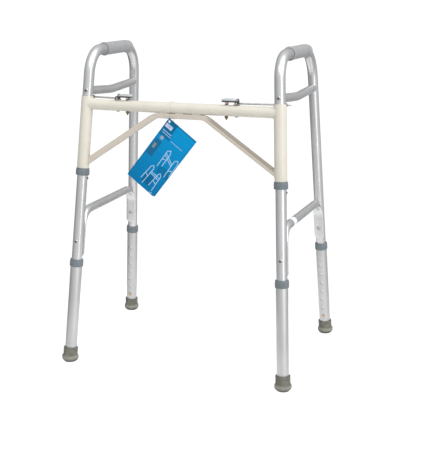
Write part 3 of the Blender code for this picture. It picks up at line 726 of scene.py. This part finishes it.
def piece(name, bm, finish, body, stands_for=(), where=None, bevel=0.0, cutters=(), sharp=30):
    """Puts a finished piece on its body, in place of the CAD nodes it stands for."""
    material, slot = finish
    obj = mesh_object(name, bm, where)
    if cutters:
        cut(obj, cutters)
    if bevel:
        modifier = obj.modifiers.new("edge", "BEVEL")
        modifier.width = bevel
        modifier.segments = 2
        modifier.limit_method = "ANGLE"
        modifier.angle_limit = radians(30)
        settle(obj)
    obj.data.materials.clear()
    obj.data.materials.append(material)
    obj.data.shade_smooth()
    obj.data.set_sharp_from_angle(angle=radians(sharp))
    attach(obj, body)
    if stands_for:
        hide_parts(*stands_for)
    return obj


def cover(node, kind, bm, finish, body, where=None, **rest):
    """A piece that stands for one CAD node, whose name it begins with."""
    return piece(f"{node}_{kind}", bm, finish, body, [node], where, **rest)


# ---------------------------------------------------------------- planes and axes

LEG_STRETCH = sqrt(1 + LEAN_IN**2 + LEAN_BACK**2)
PLANE_Z = (LEAN_BACK - LEAN_IN * SPLAY) / LEG_STRETCH
PLANE_Y = sqrt(1 + SPLAY**2 - PLANE_Z**2)
SLOPE = sqrt(1 + LEAN_BACK**2)
BAR_CENTRE = Vector((0, FRONT_Y + LEAN_BACK * BAR_Z, BAR_Z))


def side_seat(side):
    """The side frame's own axes: x across its plane, y to the rear in it, z up the front leg."""
    sign = SIDES[side]
    leg = Vector((-sign * LEAN_IN, LEAN_BACK, 1)).normalized()
    across = Vector((sign * SPLAY, 1, 0)).cross(leg).normalized()
    seat = Matrix((across, leg.cross(across), leg)).transposed().to_4x4()
    seat.translation = Vector((sign * FRONT_HALF_WIDTH, FRONT_Y, 0))
    return seat


def in_plane(back, height):
    return Vector((0, back * PLANE_Y, height * LEG_STRETCH + back * PLANE_Z))


def rear_back(height):
    return FOOTPRINT - RAKE * height


REAR_WAY = (in_plane(rear_back(1), 1) - in_plane(rear_back(0), 0)).normalized()
REAR_STRETCH = (in_plane(rear_back(1), 1) - in_plane(rear_back(0), 0)).length
REAR_SLANT = 1 / sqrt(1 - REAR_WAY.dot(in_plane(1, 0).normalized()) ** 2)
STRETCH = {"front": LEG_STRETCH, "rear": REAR_STRETCH}
HOLES_FACE = {"front": Y, "rear": -Y}


def leg_seat(end, side):
    """Axes of a leg: z up the leg from the floor, y to the rear."""
    if end == "front":
        return side_seat(side)
    local = Matrix((X, REAR_WAY.cross(X), REAR_WAY)).transposed().to_4x4()
    local.translation = in_plane(rear_back(0), 0)
    return side_seat(side) @ local


def front_seat():
    up = Vector((0, LEAN_BACK, 1)).normalized()
    seat = Matrix((X, up.cross(X), up)).transposed().to_4x4()
    seat.translation = Vector((0, FRONT_Y, 0))
    return seat


def leg_point(side, height):
    x = SIDES[side] * (FRONT_HALF_WIDTH - LEAN_IN * height)
    return Vector((x, FRONT_Y + LEAN_BACK * height, height))


def towards_middle(side, reach, y, z):
    """A point by its reach from a lever's pivot, y from the bar's centre, and its height."""
    return Vector((LEVER_X[side] - SIDES[side] * reach, BAR_CENTRE.y + y, z))


# ---------------------------------------------------------------- finishes

# Each finish: its material and the name of its slot.
CREAM = powder_coat("cream_powder_coat", (0.655, 0.615, 0.525)), "cream_powder_coat"
BRACE_COAT = brace_coat(), "cream_powder_coat"
# Near-black, for painted shade in the rivets' hollows.
SHADE_LINER = Surface("painted_shade_liner", (0.012, 0.012, 0.012), 0.9).material, "dark_steel"
ALUMINIUM = satin_aluminium("satin_aluminium", 0.67, 0.31), "satin_aluminium"
EXTENSION = satin_aluminium("satin_aluminium_extension", 0.56, 0.46), "satin_aluminium"
SLATE = slate_plastic(), "slate_plastic"
VINYL = grey_vinyl(), "grey_vinyl"
RUBBER = grey_rubber(), "grey_rubber"
ZINC = plated("zinc_steel", (0.50, 0.50, 0.48), 0.32, (0.28, 0.26, 0.22), 0.4), "zinc_steel"
DARK_STEEL = plated("dark_steel", (0.10, 0.10, 0.095), 0.40, (0.19, 0.13, 0.08), 0.35), "dark_steel"
BRASS = plated("brass", (0.62, 0.42, 0.17), 0.28, (0.30, 0.18, 0.07), 0.3), "brass"
NUT_BRASS = plated("brass_nut", (0.26, 0.175, 0.075), 0.34, (0.12, 0.08, 0.04), 0.5), "brass"
COPPER = plated("copper_spring", (0.50, 0.26, 0.15), 0.32, (0.25, 0.12, 0.07), 0.3), "copper_spring"
PAD = pad_plastic(), "pad_plastic"
CORD = clear_cord(), "tag_loop"
LABEL = blank_label(), "satin_aluminium"


# ---------------------------------------------------------------- front frame


def meet_sleeve(side, start, way):
    """Where a straight line from start first comes onto a sleeve's skin."""
    foot, top = leg_point(side, 0), leg_point(side, 1)
    axis = (top - foot).normalized()
    reach, slide = start - foot, way - axis * way.dot(axis)
    low, high = 0.0, -(reach - axis * reach.dot(axis)).dot(slide) / slide.length_squared
    for _ in range(40):
        middle = (low + high) / 2
        spot = start + way * middle - foot
        if (spot - axis * spot.dot(axis)).length > SLEEVE_R:
            low = middle
        else:
            high = middle
    return start + way * low


def weld(name, spots, radius, loop):
    """A bead of weld under the paint, a little uneven."""
    bead = wire(spots, lambda k: radius * (1 + 0.14 * sin(k * 1.9) + 0.08 * sin(k * 0.7)), 10, loop)
    piece(name, bead, CREAM, "front_frame", sharp=60)


def sleeve_core(side):
    """A cutter that ends a piece inside the sleeve's wall, clear of the tube that turns in it."""
    return peg(leg_point(side, 0.45), leg_point(side, 0.76), (SLEEVE_R + SLEEVE_BORE) / 2, 48)


def pivot_sleeve(side):
    low, high = SLEEVE_FOOT * LEG_STRETCH, SLEEVE_TOP * LEG_STRETCH
    outline = [(SLEEVE_R, low), (SLEEVE_R, high), (SLEEVE_BORE, high), (SLEEVE_BORE, low)]
    bm = round_body(outline, 0.0007)
    cover(side + "_pivot_sleeve", "tube", bm, CREAM, "front_frame", side_seat(side))


def crossbar():
    half = leg_point("right", BAR_Z).x
    path = split_long([-X * half, X * half], 0.02)
    bm = hollow(path, Y, constant(BAR_R), 0.0015, 48)
    cutters = [sleeve_core(side) for side in SIDES]
    where = Matrix.Translation(BAR_CENTRE)
    cover("crossbar", "tube", bm, CREAM, "front_frame", where, cutters=cutters)
    for side, sign in SIDES.items():
        rim = oval(BAR_CENTRE, Y, Z, BAR_R, BAR_R, 40)
        spots = [meet_sleeve(side, p, X * sign) for p in rim]
        weld(side + "_bar_weld", spots, WELD_R, True)


def soft_square(point, across, upward, half_across, half_up):
    corners = [(a * half_across, b * half_up) for a, b in ((1, -1), (1, 1), (-1, 1), (-1, -1))]
    return [point + across * a + upward * b for a, b in softened(corners, 0.0016, 4)]


def cross_brace():
    """The bent square tube under the bar, pressed flat where it is welded to the bar."""
    end_x = leg_point("right", BRACE_END_Z).x
    points = [(-end_x, BRACE_END_Z), (-BRACE_HALF_FLAT, BRACE_Z)]
    points += [(-x, z) for x, z in points[::-1]]
    path = split_long(rounded([Vector((x, 0, z * SLOPE)) for x, z in points], (0.035, 0.035), 12), 0.012)
    rings = []
    for k, point in enumerate(path):
        way = heading(path, k)
        share = smooth((abs(point.x) - BRACE_HALF_FLAT + 0.004) / 0.018)
        half_up = BRACE_FLAT_HALF + (BRACE_HALF - BRACE_FLAT_HALF) * share
        rings.append(soft_square(point, Y, way.cross(Y), BRACE_HALF, half_up))
    seat = front_seat()
    cutters = [sleeve_core(side) for side in SIDES]
    piece("brace_tube", skin(rings), BRACE_COAT, "front_frame", ["cross_brace"], seat, cutters=cutters)
    turn = seat.to_3x3()
    for side, sign in SIDES.items():
        last = path[-1] if sign > 0 else path[0]
        near = path[-3] if sign > 0 else path[2]
        way = (last - near).normalized()
        rim = soft_square(near, Y, way.cross(Y), BRACE_HALF, BRACE_HALF)
        spots = [meet_sleeve(side, seat @ p - turn @ way * 0.03, turn @ way) for p in rim]
        weld(side + "_brace_weld", spots, WELD_R, True)
    for face, toward in (("front", -1), ("back", 1)):
        for place, middle in STITCHES.items():
            line = BAR_CENTRE + Y * toward * 0.0058 - Z * (BAR_R - 0.0010)
            spots = [line + X * (middle + STITCH_LENGTH * (k / 12 - 0.5)) for k in range(13)]
            weld(f"brace_stitch_{face}_{place}", spots, STITCH_R, False)


# ---------------------------------------------------------------- side frames


def side_path(steps):
    meet = (FOOTPRINT - RAKE * HANDLE_FRONT_Z) / (1 + RAKE * HANDLE_RISE)
    front_end = in_plane(0, 0) + Z * TUBE_FOOT * LEG_STRETCH
    rear_end = in_plane(rear_back(0), 0) + REAR_WAY * TUBE_FOOT * REAR_STRETCH
    corners = [front_end, in_plane(0, HANDLE_FRONT_Z)]
    corners += [in_plane(meet, HANDLE_FRONT_Z + HANDLE_RISE * meet), rear_end]
    return rounded(corners, (FRONT_BEND, REAR_BEND), steps)


def side_tube(side):
    bm = hollow(split_long(side_path(20), 0.05), X, constant(TUBE_R), TUBE_WALL, 40)
    cutters = []
    for end in ENDS:
        middle = Z * BUTTON_HEIGHT * STRETCH[end]
        seat = leg_seat(end, side)
        cutters.append(peg(seat @ middle, seat @ (middle + HOLES_FACE[end] * 0.03), HOLE_R))
    body = side + "_side_frame"
    cover(side + "_side_tube", "bent", bm, ALUMINIUM, body, side_seat(side), cutters=cutters)


def hand_grip(side):
    """Moulded vinyl, with a flange at each end and shallow ribs between."""
    path = side_path(20)
    bend_end = (path[1] - path[0]).length + FRONT_BEND * pi / 2 - FRONT_BEND
    part = split_long(stretch(path, bend_end + GRIP_START, bend_end + GRIP_END), 0.0012)
    flange, bulge = 0.007, 0.0011

    def outside(distance, length):
        near = min(distance, length - distance)
        if near < flange:
            r = GRIP_R + bulge * sin(pi * min(1.0, (near + 0.001) / flange)) ** 0.6
        else:
            r = GRIP_R - 0.0002 + 0.00022 * cos(2 * pi * distance / 0.0048)
        r -= max(0.0, 0.0012 - near) * 0.8
        return r, r

    outer = swept_rings(part, X, outside, 40)
    inner = swept_rings(part, X, constant(TUBE_R + GAP), 40)
    bm = skin(outer + inner[::-1], wrap=True)
    cover(side + "_hand_grip", "vinyl", bm, VINYL, side + "_side_frame", side_seat(side), sharp=50)


def upper_brace(side):
    dip = in_plane(UPPER_DIP_BACK, UPPER_DIP_Z)
    rear = in_plane(rear_back(UPPER_REAR_Z), UPPER_REAR_Z)
    path = split_long(rounded([in_plane(0, UPPER_FRONT_Z), dip, rear], (0.35,), 14), 0.01)
    bm = hollow(path, X, constant(UPPER_R), 0.0014, 36)
    cutters = []
    for end in ENDS:
        seat = leg_seat(end, side)
        cutters.append(peg(seat @ (Z * 0.55), seat @ (Z * 0.78), TUBE_R - 0.0002, 48))
    body = side + "_side_frame"
    cover(side + "_upper_brace", "bent", bm, ALUMINIUM, body, side_seat(side), cutters=cutters)


def strap_size(distance, length):
    near = min(distance, length - distance)
    share = smooth((near - STRAP_FLAT) / STRAP_BLEND)
    half_width = STRAP_HALF_WIDTH + (LOWER_R - STRAP_HALF_WIDTH) * share
    # The strap's very end is cut round.
    half_width *= sqrt(max(0.12, 1 - max(0.0, 1 - near / 0.012) ** 2))
    return half_width, STRAP_HALF_THICK + (LOWER_R - STRAP_HALF_THICK) * share


def lower_path():
    off = TUBE_R + GAP + STRAP_HALF_THICK
    rear_off = off * REAR_SLANT
    corners = [
        in_plane(0, STRAP_FRONT_FOOT) + Y * off,
        in_plane(0, LOWER_Z) + Y * off,
        in_plane(rear_back(LOWER_Z) - rear_off, LOWER_Z),
        in_plane(rear_back(STRAP_REAR_FOOT) - rear_off, STRAP_REAR_FOOT),
    ]
    return rounded(corners, (LOWER_BEND, LOWER_BEND), 16)


def lower_brace(side):
    """The brace whose ends turn down and lie flat against the two legs."""
    bm = skin(swept_rings(split_long(lower_path(), 0.004), X, strap_size, 32))
    cover(side + "_lower_brace", "bent", bm, ALUMINIUM, side + "_side_frame", side_seat(side), sharp=50)


def rivet_bore(name, head, way, body, seat):
    """A near-black liner in the hollow in the head of a tubular rivet: painted shade."""
    outline = [(0.0012, -0.0012), (0.0021, -0.0009), (0.0021, 0.0060)]
    piece(name + "_bore", skin(turned(head, way, outline, 20)), SHADE_LINER, body, where=seat)


def rivet_rings(head, way, grip):
    """A tubular rivet: a domed head with a hollow middle at each end."""
    dome = [(0.0003, 0.0075), (0.0024, 0.0070), (0.0025, -RIVET_HEAD_T * 0.9)]
    dome += [(RIVET_HEAD_R * sin(t), -RIVET_HEAD_T * cos(t)) for t in (0.55, 0.8, 1.1, 1.4)]
    outline = dome + [(RIVET_HEAD_R, 0.0), (0.0029, 0.0), (0.0029, grip), (RIVET_HEAD_R, grip)]
    outline += [(r, grip - z) for r, z in dome[::-1]]
    return turned(head, way, outline, 24)


def side_rivets(side):
    seat, body = side_seat(side), side + "_side_frame"
    # Each end: the upper rivet's height and the way in which the lower rivet's head points.
    for end, upper, sign in (("front", UPPER_FRONT_Z, 1), ("rear", UPPER_REAR_Z, -1)):
        for level, height, extra in (("lower", RIVET_Z, 0.0043), ("upper", upper, -0.004)):
            if end == "front":
                centre, rear = in_plane(0, height), Y
            else:
                centre, rear = in_plane(rear_back(height), height), REAR_WAY.cross(X)
            way = rear * sign
            head = centre - way * (TUBE_R - RIVET_SUNK)
            bm = skin(rivet_rings(head, way, 2 * (TUBE_R + GAP) + extra - RIVET_SUNK))
            name = f"{side}_{level}_{end}_rivet"
            cover(name, "domed", bm, ZINC, body, seat)
            rivet_bore(name, head, way, body, seat)


def stop_pin(side):
    """The small pin that keeps the stop collar up."""
    start = leg_point(side, 0.4775)
    way = Vector((0.93, 0.36, 0)).normalized()
    outline = [(0.0016, 0.0105), (0.0030, 0.0120), (0.0030, 0.0136), (0.0022, 0.0149), (0.0009, 0.0154)]
    bm = skin(turned(start, way, outline, 20, Z))
    piece(side + "_stop_pin", bm, DARK_STEEL, side + "_side_frame")


def stop_collar(side):
    low, high = STOP_FOOT * LEG_STRETCH, SLEEVE_FOOT * LEG_STRETCH - GAP
    bore = TUBE_R + GAP
    outline = [(0.0155, low), (COLLAR_R, low + 0.0012), (COLLAR_R, low + 0.0130)]
    outline += [(COLLAR_R - 0.0004, low + 0.0136), (COLLAR_R - 0.0004, high - 0.0008)]
    outline += [(0.0162, high), (bore, high), (bore, low)]
    bm = round_body(outline, 0.0005)
    cover(side + "_stop_collar", "moulded", bm, SLATE, side + "_side_frame", side_seat(side))


def brace_label(side):
    """A blank label stuck round the outside of the lower brace."""
    path = split_long(stretch(lower_path(), LABEL_START, LABEL_END), 0.004)
    turns = [radians(-70 + 10 * i) for i in range(22)]
    outer, inner = [], []
    for k, point in enumerate(path):
        way = heading(path, k)
        upward = X.cross(way)
        for bucket, r in ((outer, LOWER_R + 0.00025), (inner, LOWER_R + 0.00005)):
            bucket.append([point + X * r * sin(t) + upward * r * cos(t) for t in turns])
    rings = [o + i[::-1] for o, i in zip(outer, inner)]
    piece(side + "_blank_label", skin(rings), LABEL, side + "_side_frame", where=side_seat(side))


# ---------------------------------------------------------------- legs


def leg_extension(end, side):
    seat, scale, way = leg_seat(end, side), STRETCH[end], HOLES_FACE[end]
    low, high, bore = EXT_FOOT, EXT_TOP * scale, EXT_R - EXT_WALL
    bm = round_body([(EXT_R, low), (EXT_R, high), (bore, high), (bore, low)], 0.0004)
    cutters = []
    for k in range(HOLE_COUNT):
        middle = Z * (BUTTON_HEIGHT * scale + HOLE_PITCH * k)
        cutters.append(peg(seat @ middle, seat @ (middle + way * 0.03), HOLE_R))
    leg = f"{end}_{side}_leg"
    cover(leg + "_extension", "drilled", bm, EXTENSION, leg, seat, cutters=cutters)


def rubber_foot(end, side):
    """A ferrule with a ribbed neck and a swollen tread, level where it stands."""
    seat = leg_seat(end, side)
    bore, top = EXT_R + GAP, 0.0370
    outline = [(0.0120, -0.006), (0.0158, 0.0006), (0.0184, 0.0026), (0.0203, 0.0054), (0.0212, 0.0085)]
    outline += [(0.0214, 0.0112), (0.0209, 0.0140), (0.0195, 0.0160), (0.0183, 0.0174)]
    for k in range(4):
        base = 0.0190 + 0.0038 * k
        outline += [(0.0183, base), (0.0179, base + 0.0005), (0.0179, base + 0.0011), (0.0183, base + 0.0016)]
    outline += [(0.0184, 0.0355), (0.0182, top - 0.0004), (0.0178, top)]
    outline += [(bore + 0.0005, top), (bore, top - 0.0005), (bore, EXT_FOOT - GAP)]
    bm = skin(turned(Vector(), Z, outline, 48))
    level = seat.to_3x3().inverted() @ Z
    everything = bm.verts[:] + bm.edges[:] + bm.faces[:]
    bmesh.ops.bisect_plane(bm, geom=everything, plane_co=(0, 0, 0), plane_no=level, clear_inner=True)
    bmesh.ops.holes_fill(bm, edges=[edge for edge in bm.edges if edge.is_boundary])
    cover(f"{end}_{side}_rubber_foot", "moulded", bm, RUBBER, f"{end}_{side}_leg", seat)


def bush_collar(end, side):
    """The grey collar at the foot of a leg, wide round the extension and snug round the tube."""
    scale = STRETCH[end]
    low, high, lip = COLLAR_FOOT * scale, COLLAR_TOP * scale, EXT_TOP * scale + GAP
    wide, snug = EXT_R + GAP, TUBE_R + GAP
    outline = [(0.0159, low), (COLLAR_R, low + 0.0012), (COLLAR_R, high - 0.0050)]
    outline += [(COLLAR_R - 0.0004, high - 0.0045), (COLLAR_R - 0.0005, high - 0.0012), (0.0157, high)]
    outline += [(snug, high), (snug, lip), (wide, lip), (wide, low)]
    bm = round_body(outline, 0.0005)
    cover(f"{end}_{side}_bush_collar", "moulded", bm, SLATE, f"{end}_{side}_leg", leg_seat(end, side))


# ---------------------------------------------------------------- palm levers


def lever_bracket(side):
    """A U of sheet on the bar, whose two ears hold the pin."""
    floor = BAR_Z + BAR_R + GAP
    low, tall = floor + 0.0022, 0.6822
    w, t = EAR_HALF, SHEET
    rings = []
    # Each section: its reach and the height of its sides.
    half = [(-0.0070, low), (-0.0036, low), (-0.0028, tall)]
    for reach, top in half + [(-reach, top) for reach, top in half[::-1]]:
        section = [(-w, floor), (w, floor), (w, top), (w - t, top)]
        section += [(w - t, floor + t), (t - w, floor + t), (t - w, top), (-w, top)]
        rings.append([towards_middle(side, reach, y, z) for y, z in section])
    cover(side + "_lever_bracket", "pressed", skin(rings), ZINC, "front_frame", bevel=0.0003)


def lever_arm(side):
    """A channel of sheet, open below, with one ear that holds the rod's end."""
    top = PLATE_Z + PLATE_T
    deep, shallow = 0.6772, PLATE_Z - 0.0010
    ear, no_ear = PIVOT_Z + ROD_ARM + 0.0040, top + GAP
    w, t = ARM_HALF, SHEET
    # Each section: its reach, the foot of its sides and the top of the ear's side.
    sections = [(-0.0042, deep, no_ear), (-0.0034, deep, ear), (0.0034, deep, ear)]
    sections += [(0.0040, shallow, no_ear), (PAD_END - 0.0010, shallow, no_ear)]
    rings = []
    for reach, low, high in sections:
        section = [(-w, low), (-w, top), (w - t, top), (w - t, high), (w, high)]
        section += [(w, low), (w - t, low), (w - t, PLATE_Z), (t - w, PLATE_Z), (t - w, low)]
        rings.append([towards_middle(side, reach, y, z) for y, z in section])
    eye = towards_middle(side, 0, 0, PIVOT_Z + ROD_ARM)
    hole = peg(eye + Y * 0.0045, eye + Y * 0.0120, ROD_R + 0.0006)
    lever = side + "_lever"
    cover(lever + "_arm", "pressed", skin(rings), DARK_STEEL, lever, cutters=[hole], bevel=0.00025)


def lever_pad(side):
    """The moulded pad that the palm presses, crowned along its length."""
    low = PLATE_Z + PLATE_T + 2 * GAP
    rings = []
    for k in range(17):
        share = k / 16
        lift = 1 - abs(2 * share - 1) ** 6
        half = PAD_HALF - 0.0022 * (1 - lift)
        top = low + PAD_T * (0.45 + 0.55 * lift) + 0.0003 * cos(2 * pi * share * 5) * lift
        section = softened([(-half, low), (half, low), (half, top), (-half, top)], 0.0021, 5)
        reach = PAD_START + (PAD_END - PAD_START) * share
        rings.append([towards_middle(side, reach, y, z) for y, z in section])
    cover(side + "_lever_pad", "moulded", skin(rings), PAD, side + "_lever", sharp=60)


def lever_pin(side):
    half = ARM_HALF + GAP
    start = towards_middle(side, 0, -half, PIVOT_Z)
    dome = [(0.0006, -0.0008), (0.0014, -0.0006), (0.0020, -0.0001), (0.0020, 0.0), (0.0013, 0.0)]
    outline = dome + [(r, 2 * half - z) for r, z in dome[::-1]]
    rings = [oval(start + Y * z, X, Z, r, r, 20) for r, z in outline]
    cover(side + "_lever_pin", "turned", skin(rings), ZINC, "front_frame")


def bracket_rivet(side):
    """The rivet that holds the bracket, headed under the bar."""
    top, foot = BAR_Z + BAR_R + GAP + SHEET + GAP, BAR_Z - BAR_R - GAP
    outline = [(0.0022, top + 0.0009), (0.0032, top + 0.0005), (0.0034, top), (0.0021, top), (0.0021, foot)]
    outline += [(0.0042, foot), (0.0040, foot - 0.0009), (0.0030, foot - 0.0017), (0.0014, foot - 0.0021)]
    bm = skin(turned(towards_middle(side, 0, 0, 0), Z, outline, 24))
    cover(side + "_bracket_rivet", "domed", bm, ZINC, "front_frame")


def spring_bolt(side):
    """The bolt through the bar under the spring, and its nut."""
    centre = towards_middle(side, BOLT_REACH, 0, 0)
    top, foot = BAR_Z + BAR_R + GAP, BOLT_FOOT_Z
    outline = [(0.0012, top + 0.0025), (0.0024, top + 0.0022), (0.0028, top + 0.0016)]
    outline += [(0.0028, top), (0.0021, top)]
    crest, root = 0.0021, 0.0019
    for k in range(78):
        height = top - 0.0030 - THREAD_STEP * k
        if height > foot + 0.0008:
            outline.append(((crest, root)[k % 2], height))
    outline += [(0.0016, foot)]
    bm = skin(turned(centre, Z, outline, 20))
    cover(side + "_spring_bolt", "threaded", bm, DARK_STEEL, "front_frame", sharp=50)

    high = BAR_Z - BAR_R - GAP
    low, bore = high - 0.0052, 0.0023
    outline = [(0.0037, low), (0.0044, low + 0.0008), (0.0044, high - 0.0004)]
    outline += [(0.0038, high), (bore, high), (bore, low)]
    bm = skin(turned(centre, Z, outline, 6), wrap=True)
    cover(side + "_spring_nut", "hexagon", bm, NUT_BRASS, "front_frame", bevel=0.0002)


def lever_spring(side):
    """A compression coil that shortens as the lever goes down."""
    gauge, coil, turns, steps = 0.00055, 0.0042, 4, 26
    low = BAR_Z + BAR_R + GAP + gauge
    rise = PLATE_Z - GAP - gauge - low
    middle = towards_middle(side, BOLT_REACH, 0, 0)
    path = []
    for k in range(turns * steps + 1):
        angle, share = 2 * pi * k / steps, k / (turns * steps)
        eased = min(max((share - 0.12) / 0.76, 0.0), 1.0)
        height = low + rise * (0.82 * eased + 0.18 * share)
        path.append(middle + Vector((coil * cos(angle), coil * sin(angle), height)))
    obj = cover(side + "_lever_spring", "coil", wire(path, gauge, 10), COPPER, "front_frame", sharp=60)
    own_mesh(obj)


def lock_rod(side):
    """The rod from the lever's ear to behind the leg, with two short bends and two long ones."""
    axis = leg_point(side, ROD_Z)
    behind = axis.y + ROD_BEHIND_LEG - BAR_CENTRE.y
    run = abs(axis.x - LEVER_X[side])
    high = PIVOT_Z + ROD_ARM
    corners = [
        towards_middle(side, 0, 0.0047, high),
        towards_middle(side, 0, ROD_BEHIND_BAR, high),
        towards_middle(side, 0, ROD_BEHIND_BAR, ROD_Z),
        towards_middle(side, -0.012, ROD_BEHIND_BAR, ROD_Z),
        towards_middle(side, 0.013 - run, behind, ROD_Z),
        towards_middle(side, -run - ROD_TAIL, behind, ROD_Z),
    ]
    path = split_long(rounded(corners, (0.0030, 0.0030, 0.02, 0.02), 8), 0.01)
    last = len(path) - 1
    rounded_tip = {0: 0.75, last: 0.6, last - 1: 1.0}
    bm = wire(path, lambda k: ROD_R * rounded_tip.get(k, 1.0), 18)
    cover(side + "_lock_rod", "bent", bm, ZINC, side + "_rod", sharp=50)


def rod_guide(side):
    """The drilled block behind a sleeve that the rod slides in."""
    axis = leg_point(side, ROD_Z)
    near, far, half_tall = SLEEVE_R - 0.0008, ROD_BEHIND_LEG + 0.0037, 0.0040
    section = [(near, -half_tall), (far, -half_tall), (far, half_tall), (near, half_tall)]
    rings = [[axis + Vector((x * SIDES[side], y, z)) for y, z in section] for x in (-0.0090, 0.0120)]
    middle = axis + Y * ROD_BEHIND_LEG
    hole = peg(middle - X * 0.03, middle + X * 0.03, ROD_R + 0.0004)
    core = peg(leg_point(side, 0.6), leg_point(side, 0.75), SLEEVE_R - 0.0004, 40)
    cuts = [hole, core]
    cover(side + "_rod_guide", "block", skin(rings), DARK_STEEL, "front_frame", cutters=cuts, bevel=0.0006)


# ---------------------------------------------------------------- hang tag


def tag_grid(corner, along, down, extent, forward, bm):
    """One face of a leaf, slightly bowed, as a grid of points joined by faces."""
    a0, a1, d0, d1 = extent
    grid = []
    for i in range(LEAF_COLUMNS + 1):
        for j in range(LEAF_ROWS + 1):
            a, d = a0 + (a1 - a0) * i / LEAF_COLUMNS, d0 + (d1 - d0) * j / LEAF_ROWS
            bow = LEAF_BOW * sin(pi * d / TAG_LENGTH) * (a / TAG_WIDTH - 0.3)
            grid.append(bm.verts.new(corner + along * a + down * d - Y * (forward + bow)))
    step = LEAF_ROWS + 1
    for i in range(LEAF_COLUMNS):
        for k in range(i * step, i * step + LEAF_ROWS):
            bm.faces.new((grid[k], grid[k + 1], grid[k + step + 1], grid[k + step]))
    return grid


def hang_tag():
    """Three leaves of card on a clear cord, printed in plain blue with line drawings."""
    along = Vector((cos(TAG_TURN), 0, sin(TAG_TURN)))
    down = Vector((sin(TAG_TURN), 0, -cos(TAG_TURN)))
    corner = Vector((TAG_CORNER[0], BAR_CENTRE.y - TAG_FORWARD, TAG_CORNER[1]))
    card = printed_card(corner), "tag_card"
    hole = corner + (along + down) * TAG_HOLE
    # Each leaf: its start and end across and down the card, and how far forward it lies.
    leaves = {
        "back": ((0.0, TAG_WIDTH, 0.0, TAG_LENGTH - 0.002), -0.00035),
        "front": ((0.0, TAG_WIDTH - 0.0035, 0.012, TAG_LENGTH), 0.00035),
        "flap": ((0.0, TAG_WIDTH, 0.0, 0.0135), 0.00085),
    }
    columns, rows = LEAF_COLUMNS, LEAF_ROWS
    edge = [i * (rows + 1) for i in range(columns + 1)]
    edge += [columns * (rows + 1) + j for j in range(1, rows + 1)]
    edge += [i * (rows + 1) + rows for i in range(columns - 1, -1, -1)]
    edge += list(range(rows - 1, 0, -1))
    for leaf, (extent, forward) in leaves.items():
        bm = bmesh.new()
        rear = tag_grid(corner, along, down, extent, forward - LEAF_T / 2, bm)
        face = tag_grid(corner, along, down, extent, forward + LEAF_T / 2, bm)
        for here, there in zip(edge, edge[1:] + edge[:1]):
            bm.faces.new((rear[here], rear[there], face[there], face[here]))
        punch = [peg(hole - Y * 0.01, hole + Y * 0.01, 0.0030)] if leaf != "front" else ()
        stands = ["tag_card"] if leaf == "back" else ()
        piece("tag_leaf_" + leaf, bm, card, "hang_tag", stands, cutters=punch)

    centre = Vector((hole.x, BAR_CENTRE.y, BAR_Z - LOOP_DROP))
    path = oval(centre, Y, Z, LOOP_R, LOOP_R, 72)
    cover("tag_loop", "cord", wire(path, 0.0006, 10, True), CORD, "hang_tag", sharp=60)


# ---------------------------------------------------------------- floor


def floor():
    """Below the lowest reach of the feet, so that no setting of the legs goes through it."""
    surface = Surface("pale_floor", (0.97, 0.97, 0.97), 0.8)
    surface.feed({"Base Color": surface.mottle(3.0, 0.01)})
    bm = bmesh.new()
    bm.faces.new([bm.verts.new((x, y, FLOOR_Z)) for x, y in FLOOR_CORNERS])
    obj = mesh_object("floor", bm)
    obj.data.materials.append(surface.material)


place_camera()
studio()
floor()
crossbar()
cross_brace()
hang_tag()
brace_label("right")
for side in SIDES:
    pivot_sleeve(side)
    side_tube(side)
    hand_grip(side)
    upper_brace(side)
    lower_brace(side)
    side_rivets(side)
    stop_collar(side)
    stop_pin(side)
    lever_bracket(side)
    lever_arm(side)
    lever_pad(side)
    lever_pin(side)
    bracket_rivet(side)
    spring_bolt(side)
    lever_spring(side)
    lock_rod(side)
    rod_guide(side)
    for end in ENDS:
        leg_extension(end, side)
        rubber_foot(end, side)
        bush_collar(end, side)
        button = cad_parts[f"{end}_{side}_snap_button"]
        button.data.materials.clear()
        button.data.materials.append(BRASS[0])
